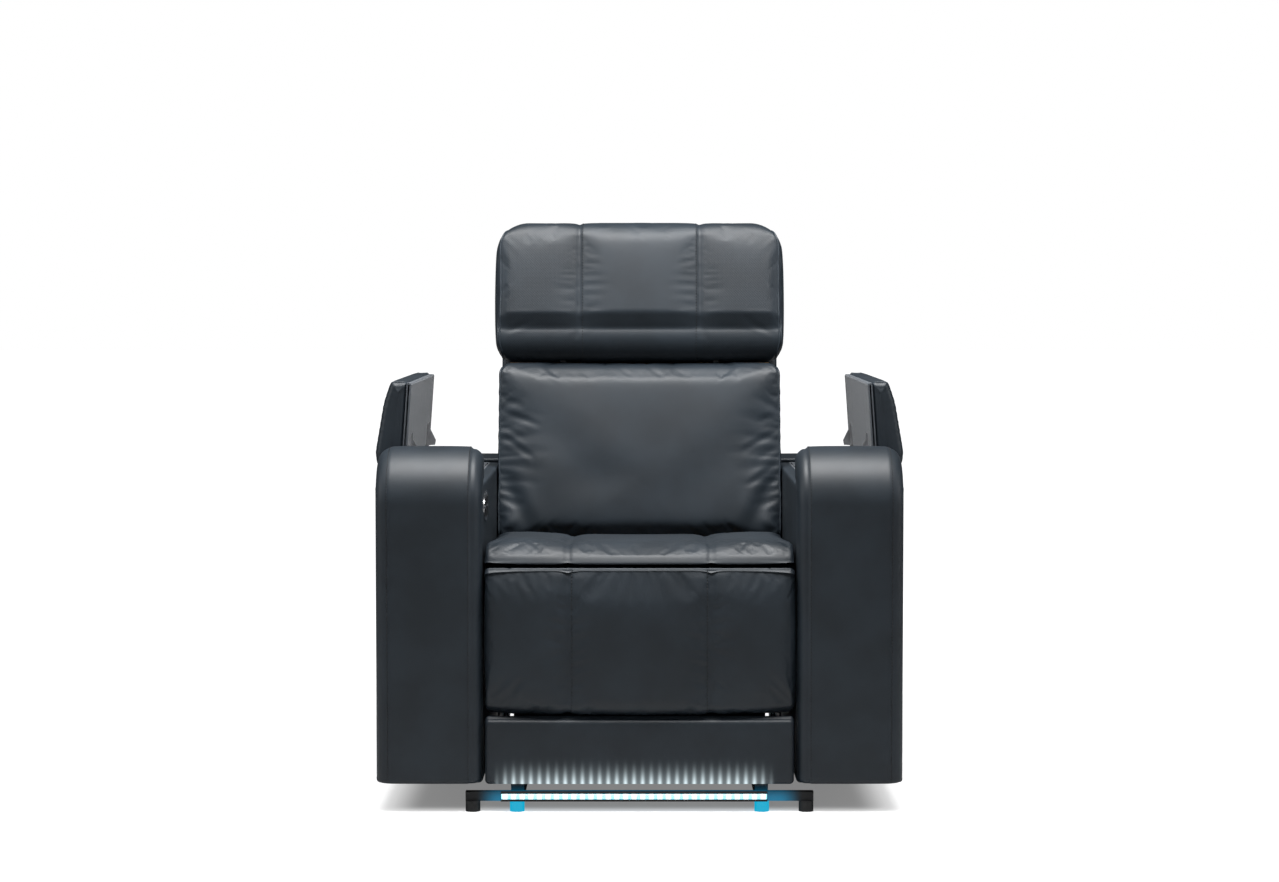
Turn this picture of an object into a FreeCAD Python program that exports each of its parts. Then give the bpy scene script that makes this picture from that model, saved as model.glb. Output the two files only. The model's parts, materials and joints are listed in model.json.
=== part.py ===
"""Cinema recliner seat: a powered single seat with two storage arms, in millimetres, +Z up.

The front faces -Y, and the origin is on the floor under the middle of the chair.
"left" and "right" are as seen from the front, so left is -X.
It stands as in the photograph: back up, footrest folded, both arm lids open.
"""
import FreeCAD, Part
import Sketcher
import math
import os
import re

V = FreeCAD.Vector
X_AXIS, Y_AXIS, Z_AXIS = V(1, 0, 0), V(0, 1, 0), V(0, 0, 1)

# Driving sizes: lengths in millimetres, angles in degrees
SIZES = {
    # arms
    "arm_gap": 579, "arm_width": 195, "arm_depth": 900, "arm_bottom": 50,
    "rim_height": 600, "panel_wall": 28, "inner_wall": 26, "rear_wall": 20, "arm_front_wall": 45,
    "arm_roll": 100, "arm_edge": 24, "arm_swell": 3, "rear_cap_wall": 9, "rear_cap_edge": 5,
    # arm lids and their hinges
    "lid_start": 120, "lid_length": 600, "lid_gap": 2, "lid_width": 183, "lid_thickness": 56,
    "lid_lift": 4, "lid_board_wall": 8, "lid_open": 86, "lid_crown": 7, "lid_corner": 22,
    "lid_inner_height": 38, "lid_edge": 5, "lid_skirt": 6,
    "lid_lip": 12, "lid_board_inset": 2, "lid_lower_corner": 16, "hinge_inset": 23.5, "hinge_rise": 28,
    "hinge_end": 91, "hinge_pin": 3, "knuckle_radius": 7, "stem_width": 24, "stem_wall": 8, "stem_depth": 40,
    "leaf_wall": 2.5, "leaf_length": 48, "ear_wall": 3, "pocket_room": 1, "past": 9,
    # storage boxes
    "storage_depth": 205, "storage_wall": 6,
    # base and light
    "bar_half_length": 320, "bar_height": 17, "bar_wide": 18, "foot_radius": 13.5, "foot_height": 19,
    "base_rail_centre": 225, "base_rail_wide": 24, "base_rail_height": 25, "rear_bar_inset": 150,
    "front_bar_inset": 12, "light_left": 255, "light_right": 235, "light_height": 18, "light_wall": 7,
    "light_count": 31, "light_size": 5, "light_depth": 1.6,
    # kick panel
    "apron_half_width": 284, "apron_top": 170, "apron_wall": 18, "apron_inset": 7, "apron_round": 7,
    "bracket_drop": 30, "bracket_foot": 50,
    # mechanism
    "plate_face": 262, "plate_wall": 4, "pivot_y": -330, "pivot_height": 335, "link_length": 170,
    "link_wide": 16, "link_wall": 4, "link_gap": 1, "pin_radius": 5, "running_gap": 0.05,
    "fold_main": -95, "fold_toggle": 80, "fold_lever": -150, "tube_radius": 11, "tube_wall": 2,
    "lever_length": 70, "pin_head": 2, "head_gap": 0.3, "link_flange": 34, "link_flange_high": 130,
    "link_flange_drop": 35, "link_flange_wall": 3, "link_heel": 20,
    "rail_top": 352, "rail_height": 32, "rail_wide": 18, "rail_front": -345, "rail_rear": 100,
    "plate_nose": 50, "plate_heel": 80, "plate_foot_front": 70, "plate_foot_rear": 50,
    "window_radius": 48, "window_drop": 130, "window_inset": 75, "spacer_long": 60,
    "spacer_front": -270, "spacer_rear": -30,
    "cross_tube_height": 192, "cross_tube_radius": 12, "cross_front": -240, "cross_rear": 60,
    "drive_rail_wide": 30, "drive_rail_height": 26, "rail_overhang": 12, "carriage_long": 60,
    "carriage_rise": 18, "carriage_skirt": 14, "carriage_cheek": 6, "carriage_stand": 120,
    "slide_room": 0.3, "gearbox_long": 64, "gearbox_cheek": 8, "gearbox_rise": 20, "gearbox_drop": 10,
    "motor_radius": 30, "motor_long": 120, "motor_inset": 33, "motor_side": 12,
    "spring_wall": 2, "spring_wide": 50, "spring_count": 6, "spring_inset": 2,
    # footrest
    "pad_half_width": 285, "footrest_bottom": 178, "footrest_top": 450, "footrest_back": -378,
    "footrest_front": -442, "footrest_bulge": 6, "footrest_slope": 4, "footrest_round": 26,
    "footrest_board_wall": 12, "footrest_board_half": 262, "board_inset": 12,
    # seat cushion
    "lip_room": 6, "seat_front": -438, "seat_step": -352, "seat_rear": 58, "nose_rise": 36,
    "nose_long": 66, "seat_fall": 22, "seat_crown": 5, "seat_rear_round": 14,
    "seam_place": 132, "seam_dip": 4, "seam_reach": 12, "side_draw": 10, "side_reach": 30,
    # back, measured up the back from its pivot and rearward of it
    "back_pivot_y": 125, "back_pivot_height": 400, "back_lean": 13, "back_half_width": 286,
    "cushion_low": 35, "cushion_high": 413, "cushion_face": 48, "cushion_back": 60, "cushion_bulge": 12,
    "cushion_draw": 14, "cushion_round": 26, "cushion_low_round": 40, "cushion_side_bulge": 2,
    "back_board_wall": 18, "board_low": 62, "board_high": 440, "shell_low": 12, "shell_high": 456,
    "shell_wall": 22, "bracket_wall": 6, "bracket_arm": 14, "bracket_high": 110, "board_side_inset": 12,
    "back_pin": 6, "post_wall": 4, "post_gap": 2,
    # headrest
    "head_half_width": 291, "head_axis_high": 470, "head_axis_back": -5, "head_roll": 50,
    "head_top": 706, "head_front": 58, "head_back": 45, "head_board_wall": 10, "head_corner": 45,
    "head_seam": 124, "head_seam_dip": 3, "head_seam_reach": 10, "head_draw": 12, "head_bulge": 6,
    "head_top_round": 36, "head_rear_round": 14, "head_hinge_place": 150, "head_pin": 4,
    "head_eye": 9, "head_arm_wall": 12, "head_slot_room": 3, "head_board_inset": 30,
    "carrier_gap": 4, "carrier_wall": 12,
    # controls
    "control_start": 70, "control_long": 120, "control_high": 56, "control_drop": 45,
    "control_wall": 3, "button_long": 34, "button_high": 15, "button_room": 0.4, "button_travel": 1.5,
    "button_proud": 2, "button_spread": 46, "button_rise": 21, "switch_depth": 22, "switch_margin": 18,
    "switch_rim": 9,
}

# Places worked out from the driving sizes, as formulas of the same sheet
PLACES = {
    "front": "-arm_depth / 2",
    "rear": "arm_depth / 2",
    "arm_inner": "arm_gap / 2",
    "arm_outer": "arm_inner + arm_width",
    "outer_wall_face": "arm_outer - panel_wall",
    "inner_wall_face": "arm_inner + inner_wall",
    "lid_front": "front + lid_start",
    "lid_rear": "lid_front + lid_length",
    "lid_low": "rim_height + lid_lift",
    "lid_high": "lid_low + lid_thickness",
    "arm_top": "lid_high + lid_lift",
    "lid_inner": "arm_outer - lid_width",
    "hinge_x": "arm_outer - hinge_inset",
    "hinge_z": "rim_height + hinge_rise",
    "hinge_front": "lid_front + hinge_end",
    "hinge_rear": "lid_rear - hinge_end",
    "pocket_half": "stem_width / 2 + ear_wall + 2 * pocket_room",
    "pocket_inner": "hinge_x - knuckle_radius - 5 * pocket_room",
    "pocket_high": "hinge_z + knuckle_radius + 6 * pocket_room",
    "bar_low": "foot_height",
    "bar_high": "foot_height + bar_height",
    "front_bar_front": "front + front_bar_inset",
    "front_bar_rear": "front_bar_front + bar_wide",
    "rear_bar_rear": "rear - rear_bar_inset",
    "rear_bar_front": "rear_bar_rear - bar_wide",
    "base_rail_inner": "base_rail_centre - base_rail_wide / 2",
    "base_rail_outer": "base_rail_centre + base_rail_wide / 2",
    "base_rail_top": "bar_low + base_rail_height",
    "apron_front": "front + apron_inset",
    "apron_rear": "apron_front + apron_wall",
    "plate_outer": "plate_face + plate_wall",
    "footrest_link_face": "plate_face - 2 * link_gap - link_wall",
    "toggle_link_face": "footrest_link_face - link_gap - link_wall",
    "main_link_face": "toggle_link_face - link_gap - link_wall",
    "knee_y": "pivot_y - link_length * cos(fold_main)",
    "knee_z": "pivot_height + link_length * sin(fold_main)",
    "foot_pivot_y": "knee_y - link_length * cos(fold_toggle)",
    "foot_pivot_z": "knee_z + link_length * sin(fold_toggle)",
    "footrest_board_rear": "footrest_back + footrest_board_wall",
    "rail_outer": "plate_face + rail_wide",
    "rail_high": "rail_top + rail_height",
    "seat_base": "rail_high + spring_wall",
    "lip_height": "footrest_top + lip_room",
    "drive_rail_low": "cross_tube_height + cross_tube_radius",
    "drive_rail_high": "drive_rail_low + drive_rail_height",
    "board_back": "cushion_back + back_board_wall",
    "control_front": "front + control_start",
    "control_middle": "control_front + control_long / 2",
    "control_height": "rim_height - control_drop",
    "switch_half": "control_long / 2 - switch_margin",
    "switch_rise": "control_high / 2 - switch_rim",
}

doc = FreeCAD.newDocument("cinema_recliner_seat")
sheet = doc.addObject("Spreadsheet::Sheet", "Dimensions")
for row, (alias, entry) in enumerate({**SIZES, **PLACES}.items(), start=1):
    sheet.set(f"A{row}", alias)
    sheet.set(f"B{row}", f"={entry}" if alias in PLACES else str(entry))
    sheet.setAlias(f"B{row}", alias)
doc.recompute()


def value(formula):
    """The number that a formula of named cells comes to."""
    sheet.set("D1", f"={formula}")
    sheet.recompute()
    return float(sheet.get("D1"))


WORD = re.compile(r"[A-Za-z_][A-Za-z_0-9]*")


def bound(formula):
    """The formula with each name of the sheet written as a reference to its cell."""
    return WORD.sub(
        lambda m: f"Dimensions.{m[0]}" if m[0] in SIZES or m[0] in PLACES else m[0], str(formula))


parts = []


def name_part(obj, label):
    """Give an object its label and list it as a piece of the chair."""
    obj.Label = label
    parts.append(obj)
    return obj


def fresh(kind):
    """A new object of the document with a running name."""
    return doc.addObject(kind, f"Step{len(doc.Objects)}")


def block(x, y, z, side=1):
    """A box between pairs of formulas; side -1 mirrors it to the left."""
    if side < 0:
        x = (f"-({x[1]})", f"-({x[0]})")
    obj = fresh("Part::Box")
    for length, axis, (low, high) in zip(("Length", "Width", "Height"), "xyz", (x, y, z)):
        obj.setExpression(length, bound(f"({high}) - ({low})"))
        obj.setExpression(f".Placement.Base.{axis}", bound(low))
    return obj


TURNS = {"x": FreeCAD.Rotation(Y_AXIS, 90), "y": FreeCAD.Rotation(X_AXIS, -90), "z": FreeCAD.Rotation()}


def rod(along, radius, low, high, place, side=1):
    """A cylinder along an axis between two formulas, centred on the pair of formulas in place."""
    if along == "x" and side < 0:
        low, high = f"-({high})", f"-({low})"
    if along != "x" and side < 0:
        place = (f"-({place[0]})", place[1])
    obj = fresh("Part::Cylinder")
    obj.Placement = FreeCAD.Placement(V(), TURNS[along])
    obj.setExpression("Radius", bound(radius))
    obj.setExpression("Height", bound(f"({high}) - ({low})"))
    others = [axis for axis in "xyz" if axis != along]
    obj.setExpression(f".Placement.Base.{along}", bound(low))
    for axis, formula in zip(others, place):
        obj.setExpression(f".Placement.Base.{axis}", bound(formula))
    return obj


def fuse(pieces):
    """One solid from overlapping or touching pieces."""
    if len(pieces) == 1:
        return pieces[0]
    obj = fresh("Part::MultiFuse")
    obj.Shapes = pieces
    obj.Refine = True
    return obj


def group(pieces):
    """Separate solids kept in one node."""
    obj = fresh("Part::Compound")
    obj.Links = pieces
    return obj


def cut(base, tools):
    """The base with every tool taken out of it."""
    obj = fresh("Part::Cut")
    obj.Base = base
    obj.Tool = fuse(tools)
    return obj


def solid(shape, label=None):
    """A shape worked out in code, as an object of the document."""
    obj = fresh("Part::Feature")
    obj.Shape = shape
    return name_part(obj, label) if label else obj


def path_wire(place, path):
    """A closed wire: the first point, then (point) for a line or (middle, point) for an arc."""
    start = place(*path[0])
    last, edges = start, []
    for step in path[1:]:
        if len(step) == 2 and isinstance(step[0], tuple):
            middle, end = place(*step[0]), place(*step[1])
            edges.append(Part.Arc(last, middle, end).toShape())
        else:
            end = place(*step)
            edges.append(Part.LineSegment(last, end).toShape())
        last = end
    edges.append(Part.LineSegment(last, start).toShape())
    return Part.Wire(edges)


def across(stations, section, ruled=True):
    """A solid lofted across X through the closed sections in the Y-Z plane at each station."""
    wires = [path_wire(lambda y, z, x=x: V(x, y, z), section(x)) for x in stations]
    return Part.makeLoft(wires, True, ruled)


def arc_middle(start, end, rise):
    """The middle point of an arc from start to end that bulges to the left of its way by rise."""
    (y0, z0), (y1, z1) = start, end
    run = math.hypot(y1 - y0, z1 - z0)
    return ((y0 + y1) / 2 - rise * (z1 - z0) / run, (z0 + z1) / 2 + rise * (y1 - y0) / run)


def sketch_plate(label, outline, depth_formula, offset_formula, holes=()):
    """A plate in the Y-Z plane: an outline of bound points, padded along +X, with round holes.

    The outline is a list of (y, z) formulas, and each hole is (y, z, radius). The plate's lower X
    face stands at offset_formula.
    """
    body = doc.addObject("PartDesign::Body", f"Body_{label}")
    base = body.newObject("Sketcher::SketchObject", f"Sketch_{label}")
    origin = [f for f in body.Origin.OriginFeatures if f.Role == "YZ_Plane"][0]
    base.AttachmentSupport = [(origin, "")]
    base.MapMode = "FlatFace"
    base.setExpression("AttachmentOffset.Base.z", bound(offset_formula))
    start = [V(value(first), value(second), 0) for first, second in outline]
    for i in range(len(outline)):
        base.addGeometry(Part.LineSegment(start[i], start[(i + 1) % len(outline)]), False)
    for i in range(len(outline)):
        base.addConstraint(Sketcher.Constraint("Coincident", i, 2, (i + 1) % len(outline), 1))
    for i, (first, second) in enumerate(outline):
        for kind, formula in (("DistanceX", first), ("DistanceY", second)):
            index = base.addConstraint(Sketcher.Constraint(kind, -1, 1, i, 1, value(formula)))
            base.setExpression(f"Constraints[{index}]", bound(formula))
    for first, second, radius in holes:
        centre = V(value(first), value(second), 0)
        ring = base.addGeometry(Part.Circle(centre, Z_AXIS, value(radius)), False)
        for kind, formula in (("DistanceX", first), ("DistanceY", second)):
            index = base.addConstraint(Sketcher.Constraint(kind, -1, 1, ring, 3, value(formula)))
            base.setExpression(f"Constraints[{index}]", bound(formula))
        index = base.addConstraint(Sketcher.Constraint("Radius", ring, value(radius)))
        base.setExpression(f"Constraints[{index}]", bound(radius))
    pad = body.newObject("PartDesign::Pad", f"Pad_{label}")
    pad.Profile = base
    pad.setExpression("Length", bound(depth_formula))
    body.Tip = pad
    return body


def fit(label, obj, placement=None):
    """Name a piece, and when a placement is given set the piece there."""
    if placement is None:
        return name_part(obj, label)
    holder = group([obj])
    holder.Placement = placement
    return name_part(holder, label)


def edge_drop(distance, radius):
    """How far a rounded edge lies below its flat, at a distance in from the side."""
    reach = max(radius - distance, 0)
    return radius - math.sqrt(max(radius * radius - reach * reach, 0))


def edge_stations(low, high, radius):
    """Stations from low to high that follow a rounded edge of the radius at both ends."""
    steps = [radius * (1 - math.cos(math.radians(a))) for a in (0, 22, 45, 68, 90)]
    near = [low + step for step in steps]
    far = [high - step for step in reversed(steps)]
    return near + [(low + high) / 2] + far


SIDES = (("left", -1), ("right", 1))


# Arms

def arm_inset(x, low, high):
    """How far the arm's skin lies inside its fullest line at X: rounded edges and a slight swell."""
    distance = min(x - low, high - x)
    share = abs(2 * (x - low) / (high - low) - 1)
    return edge_drop(distance, value("arm_edge")) + value("arm_swell") * share ** 2


def arm_front_pad(label, side):
    """The arm's front: a wall that rolls back into the fixed top in front of the lid."""
    front, top, rim, bottom = (value(n) for n in ("front", "arm_top", "rim_height", "arm_bottom"))
    wall, roll = front + value("arm_front_wall"), value("arm_roll")
    end = value("lid_front - lid_gap")
    low, high = value("arm_inner"), value("arm_outer")
    turn = math.cos(math.radians(45))

    def section(x):
        inset = arm_inset(abs(x), low, high)
        y, z, r = front + inset, top - inset, roll - inset
        foot = bottom + inset
        return [(wall, foot), (wall, rim), (end, rim), (end, z), (y + r, z),
                ((y + r - r * turn, z - r + r * turn), (y, z - r)), (y, foot)]

    stations = [side * x for x in edge_stations(low, high, value("arm_edge"))]
    return solid(across(stations, section), label)


def softened(piece, radius, chosen):
    """A box with the edges that chosen(edge) picks rounded by a radius."""
    rounded = fresh("Part::Fillet")
    rounded.Base = piece
    doc.recompute()
    edges = [i for i, edge in enumerate(piece.Shape.Edges, start=1) if chosen(edge)]
    rounded.Edges = [(i, radius, radius) for i in edges]
    return rounded


def arm_rear_cap(label, side):
    """The fixed ledge behind the lid, level with the rim and rounded on top."""
    ledge = block(("arm_inner", "arm_outer"), ("lid_rear + lid_gap", "rear"),
                  ("rim_height", "rim_height + rear_cap_wall"), side)
    top = value("rim_height + rear_cap_wall")
    fit(label, softened(ledge, value("rear_cap_edge"), lambda edge: abs(edge.CenterOfMass.z - top) < 0.01))


def stem_blocks(side):
    """The two hinge stems of one arm, as boxes let into the outer panel's top."""
    half = "stem_wall / 2"
    return [block((f"hinge_x - {half}", f"hinge_x + {half}"),
                  (f"{y} - stem_width / 2", f"{y} + stem_width / 2"),
                  ("rim_height - stem_depth", "hinge_z"), side) for y in ("hinge_front", "hinge_rear")]


def arm(name, side):
    """One arm: front pad, two side panels, rear wall and cap, storage box and hinge stems."""
    arm_front_pad(f"{name}_arm_front_pad", side)
    arm_rear_cap(f"{name}_arm_rear_cap", side)
    depth = ("front + arm_front_wall", "rear")
    height = ("arm_bottom", "rim_height")
    outer = block(("outer_wall_face", "arm_outer"), depth, height, side)
    fit(f"{name}_arm_outer_panel", cut(outer, stem_blocks(side)))
    inner = block(("arm_inner", "inner_wall_face"), depth, height, side)
    if side < 0:
        pocket = block(("arm_inner", "arm_inner + switch_depth"),
                       ("control_middle - switch_half", "control_middle + switch_half"),
                       ("control_height - switch_rise", "control_height + switch_rise"), side)
        inner = cut(inner, [pocket])
    fit(f"{name}_arm_inner_panel", inner)
    across_x = ("inner_wall_face", "outer_wall_face")
    fit(f"{name}_arm_rear_wall", block(across_x, ("rear - rear_wall", "rear"), height, side))
    shell = block(across_x, ("lid_front", "lid_rear"), ("rim_height - storage_depth", "rim_height"), side)
    hollow = block(("inner_wall_face + storage_wall", "outer_wall_face - storage_wall"),
                   ("lid_front + storage_wall", "lid_rear - storage_wall"),
                   ("rim_height - storage_depth + storage_wall", "rim_height + 1"), side)
    fit(f"{name}_storage_box", cut(shell, [hollow]))
    stems = []
    for stem, y in zip(stem_blocks(side), ("hinge_front", "hinge_rear")):
        knuckle = rod("y", "knuckle_radius", f"{y} - stem_width / 2", f"{y} + stem_width / 2",
                      ("hinge_x", "hinge_z"), side)
        pin = rod("y", "hinge_pin", f"{y} - pocket_half + pocket_room / 2",
                  f"{y} + pocket_half - pocket_room / 2", ("hinge_x", "hinge_z"), side)
        stems.append(fuse([stem, knuckle, pin]))
    hinge_stems.extend(stems)


hinge_stems = []


# Arm lids, drawn shut and then swung open about their hinge pins

def lid_pad_shape(side):
    """The lid's padded top: thick near its outer edge, thinner at the inner edge, drawn in at its ends."""
    inner, outer = value("lid_inner"), value("arm_outer")
    low, high, shelf = value("lid_low"), value("lid_high"), value("lid_low + lid_board_wall")
    lower, upper = value("lid_lower_corner"), value("lid_corner")
    skirt, lip = outer - lower - value("lid_skirt"), value("lid_lip")
    turn = math.cos(math.radians(45))

    def section(inset):
        out, top = outer - inset / 2, high - inset
        near = low + value("lid_inner_height") - inset
        crest, edge = (out - upper, top), (inner + lip, near)
        middle = ((crest[0] + edge[0]) / 2, (crest[1] + edge[1]) / 2 + value("lid_crown"))
        return [(inner, shelf), (skirt, shelf), (skirt, low), (out - lower, low),
                ((out - lower + lower * turn, low + lower - lower * turn), (out, low + lower)),
                (out, top - upper),
                ((out - upper + upper * turn, top - upper + upper * turn), crest),
                (middle, edge), ((inner + lip - lip * turn, near - lip + lip * turn), (inner, near - lip))]

    edge = value("lid_edge")
    start, end = value("lid_front + lid_gap"), value("lid_rear - lid_gap")
    stations = [(start, edge), (start + edge, edge / 3), (start + 4 * edge, 0), (end - 4 * edge, 0),
                (end - edge, edge / 3), (end, edge)]
    wires = [path_wire(lambda x, z, y=y: V(side * x, y, z), section(inset)) for y, inset in stations]
    return Part.makeLoft(wires, True, True)


def lid(name, side):
    """One lid: pad, lining board and hinge leaves, open as in the photograph."""
    swing = FreeCAD.Placement(V(), FreeCAD.Rotation(Y_AXIS, side * value("lid_open")),
                              V(side * value("hinge_x"), 0, value("hinge_z")))
    hinges = ("hinge_front", "hinge_rear")

    def pockets():
        return [block(("pocket_inner", "arm_outer + past"), (f"{y} - pocket_half", f"{y} + pocket_half"),
                      ("lid_low - past", "pocket_high"), side) for y in hinges]

    fit(f"{name}_lid_pad", cut(solid(lid_pad_shape(side)), pockets()), swing)
    board = block(("lid_inner + lid_board_inset", "arm_outer - lid_lower_corner - lid_skirt"),
                  ("lid_front + lid_gap + lid_board_inset", "lid_rear - lid_gap - lid_board_inset"),
                  ("lid_low", "lid_low + lid_board_wall"), side)
    fit(f"{name}_lid_board", cut(board, pockets()), swing)
    leaves = []
    plate_z = ("lid_low - leaf_wall", "lid_low")
    for y in hinges:
        ears = []
        near = (f"{y} - stem_width / 2 - pocket_room - ear_wall", f"{y} - stem_width / 2 - pocket_room")
        far = (f"{y} + stem_width / 2 + pocket_room", f"{y} + stem_width / 2 + pocket_room + ear_wall")
        for depth in (near, far):
            ears += [block(("pocket_inner - 2 * leaf_wall", "hinge_x"), depth, plate_z, side),
                     block(("pocket_inner + pocket_room", "hinge_x"), depth,
                           ("lid_low - leaf_wall", "hinge_z"), side),
                     rod("y", "knuckle_radius", *depth, ("hinge_x", "hinge_z"), side)]
        leaf = block(("pocket_inner - leaf_length", "pocket_inner - pocket_room"),
                     (near[0], far[1]), plate_z, side)
        bore = rod("y", "hinge_pin + running_gap", f"{y} - stem_width", f"{y} + stem_width",
                   ("hinge_x", "hinge_z"), side)
        leaves.append(cut(fuse([leaf] + ears), [bore]))
    fit(f"{name}_hinge_leaves", group(leaves), swing)


# Base, light and kick panel

def base():
    """The bars and rails on the floor, their feet, the light strip and the kick panel."""
    wide = ("-bar_half_length", "bar_half_length")
    fit("front_bar", block(wide, ("front_bar_front", "front_bar_rear"), ("bar_low", "bar_high")))
    fit("rear_bar", block(wide, ("rear_bar_front", "rear_bar_rear"), ("bar_low", "bar_high")))
    feet, rails, brackets = [], [], []
    for side in (-1, 1):
        rails.append(block(("base_rail_inner", "base_rail_outer"), ("front_bar_rear", "rear_bar_front"),
                           ("bar_low", "base_rail_top"), side))
        for x in ("bar_half_length - foot_radius", "base_rail_centre"):
            for y in ("front_bar_rear - foot_radius", "rear_bar_front + foot_radius"):
                feet.append(rod("z", "foot_radius", "0", "foot_height", (x, y), side))
        upright = block(("base_rail_inner", "base_rail_outer"), ("apron_rear", "apron_rear + plate_wall"),
                        ("base_rail_top", "apron_top - bracket_drop"), side)
        foot = block(("base_rail_inner", "base_rail_outer"), ("apron_rear", "apron_rear + bracket_foot"),
                     ("base_rail_top", "base_rail_top + plate_wall"), side)
        brackets.append(fuse([upright, foot]))
    fit("base_rails", group(rails))
    fit("kick_panel_brackets", group(brackets))
    fit("glide_feet", group(feet))
    low, high = "bar_low", "bar_low + light_height"
    lamp_x = ("-light_left", "light_right")
    face = "front_bar_front - light_wall"
    channel = block(lamp_x, (face, "front_bar_front"), (low, high))
    groove = block(("-light_left - 1", "light_right + 1"), (f"{face} - 1", f"{face} + 2"),
                   (f"{low} + 4", f"{high} - 4"))
    fit("light_channel", cut(channel, [groove]))
    step = value("(light_left + light_right) / light_count")
    lamp, depth = value("light_size"), value("light_depth")
    left, back, middle = value("-light_left"), value(f"{face} + 2"), value(f"{low} + light_height / 2")
    lamps = [Part.makeBox(lamp, depth, lamp,
                          V(left + (i + 0.5) * step - lamp / 2, back - depth, middle - lamp / 2))
             for i in range(int(value("light_count")))]
    solid(Part.makeCompound(lamps), "light_chips")
    panel = block(("-apron_half_width", "apron_half_width"), ("apron_front", "apron_rear"),
                  ("arm_bottom", "apron_top"))
    face_y, foot_z = value("apron_front"), value("arm_bottom")
    rounded = softened(panel, value("apron_round"), lambda edge: (
        abs(edge.CenterOfMass.y - face_y) < 0.01 and edge.CenterOfMass.z > foot_z + 1))
    fit("kick_panel", rounded)


# Mechanism

def plate_link(start, end, low, wall, half, holes):
    """A flat link between two (y, z) points with round ends, from X low, with (point, radius) holes."""
    run = V(0, end[0] - start[0], end[1] - start[1])
    run.normalize()
    out = V(0, -run.z, run.y) * half
    a, b = V(low, *start), V(low, *end)
    wire = Part.Wire([Part.LineSegment(a + out, b + out).toShape(),
                      Part.Arc(b + out, b + run * half, b - out).toShape(),
                      Part.LineSegment(b - out, a - out).toShape(),
                      Part.Arc(a - out, a - run * half, a + out).toShape()])
    link = Part.Face(wire).extrude(V(wall, 0, 0))
    for (y, z), radius in holes:
        link = link.cut(Part.makeCylinder(radius, wall + 2, V(low - 1, y, z), X_AXIS))
    return link


def x_pin(y, z, low, high, radius, side, heads=()):
    """A pin along X between low and high, with (low, high, radius) heads, mirrored by side."""
    shape = Part.makeCylinder(radius, high - low, V(low, y, z), X_AXIS)
    for start, end, head in heads:
        shape = shape.fuse(Part.makeCylinder(head, end - start, V(start, y, z), X_AXIS))
    return shape if side > 0 else shape.mirror(V(), X_AXIS)


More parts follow.
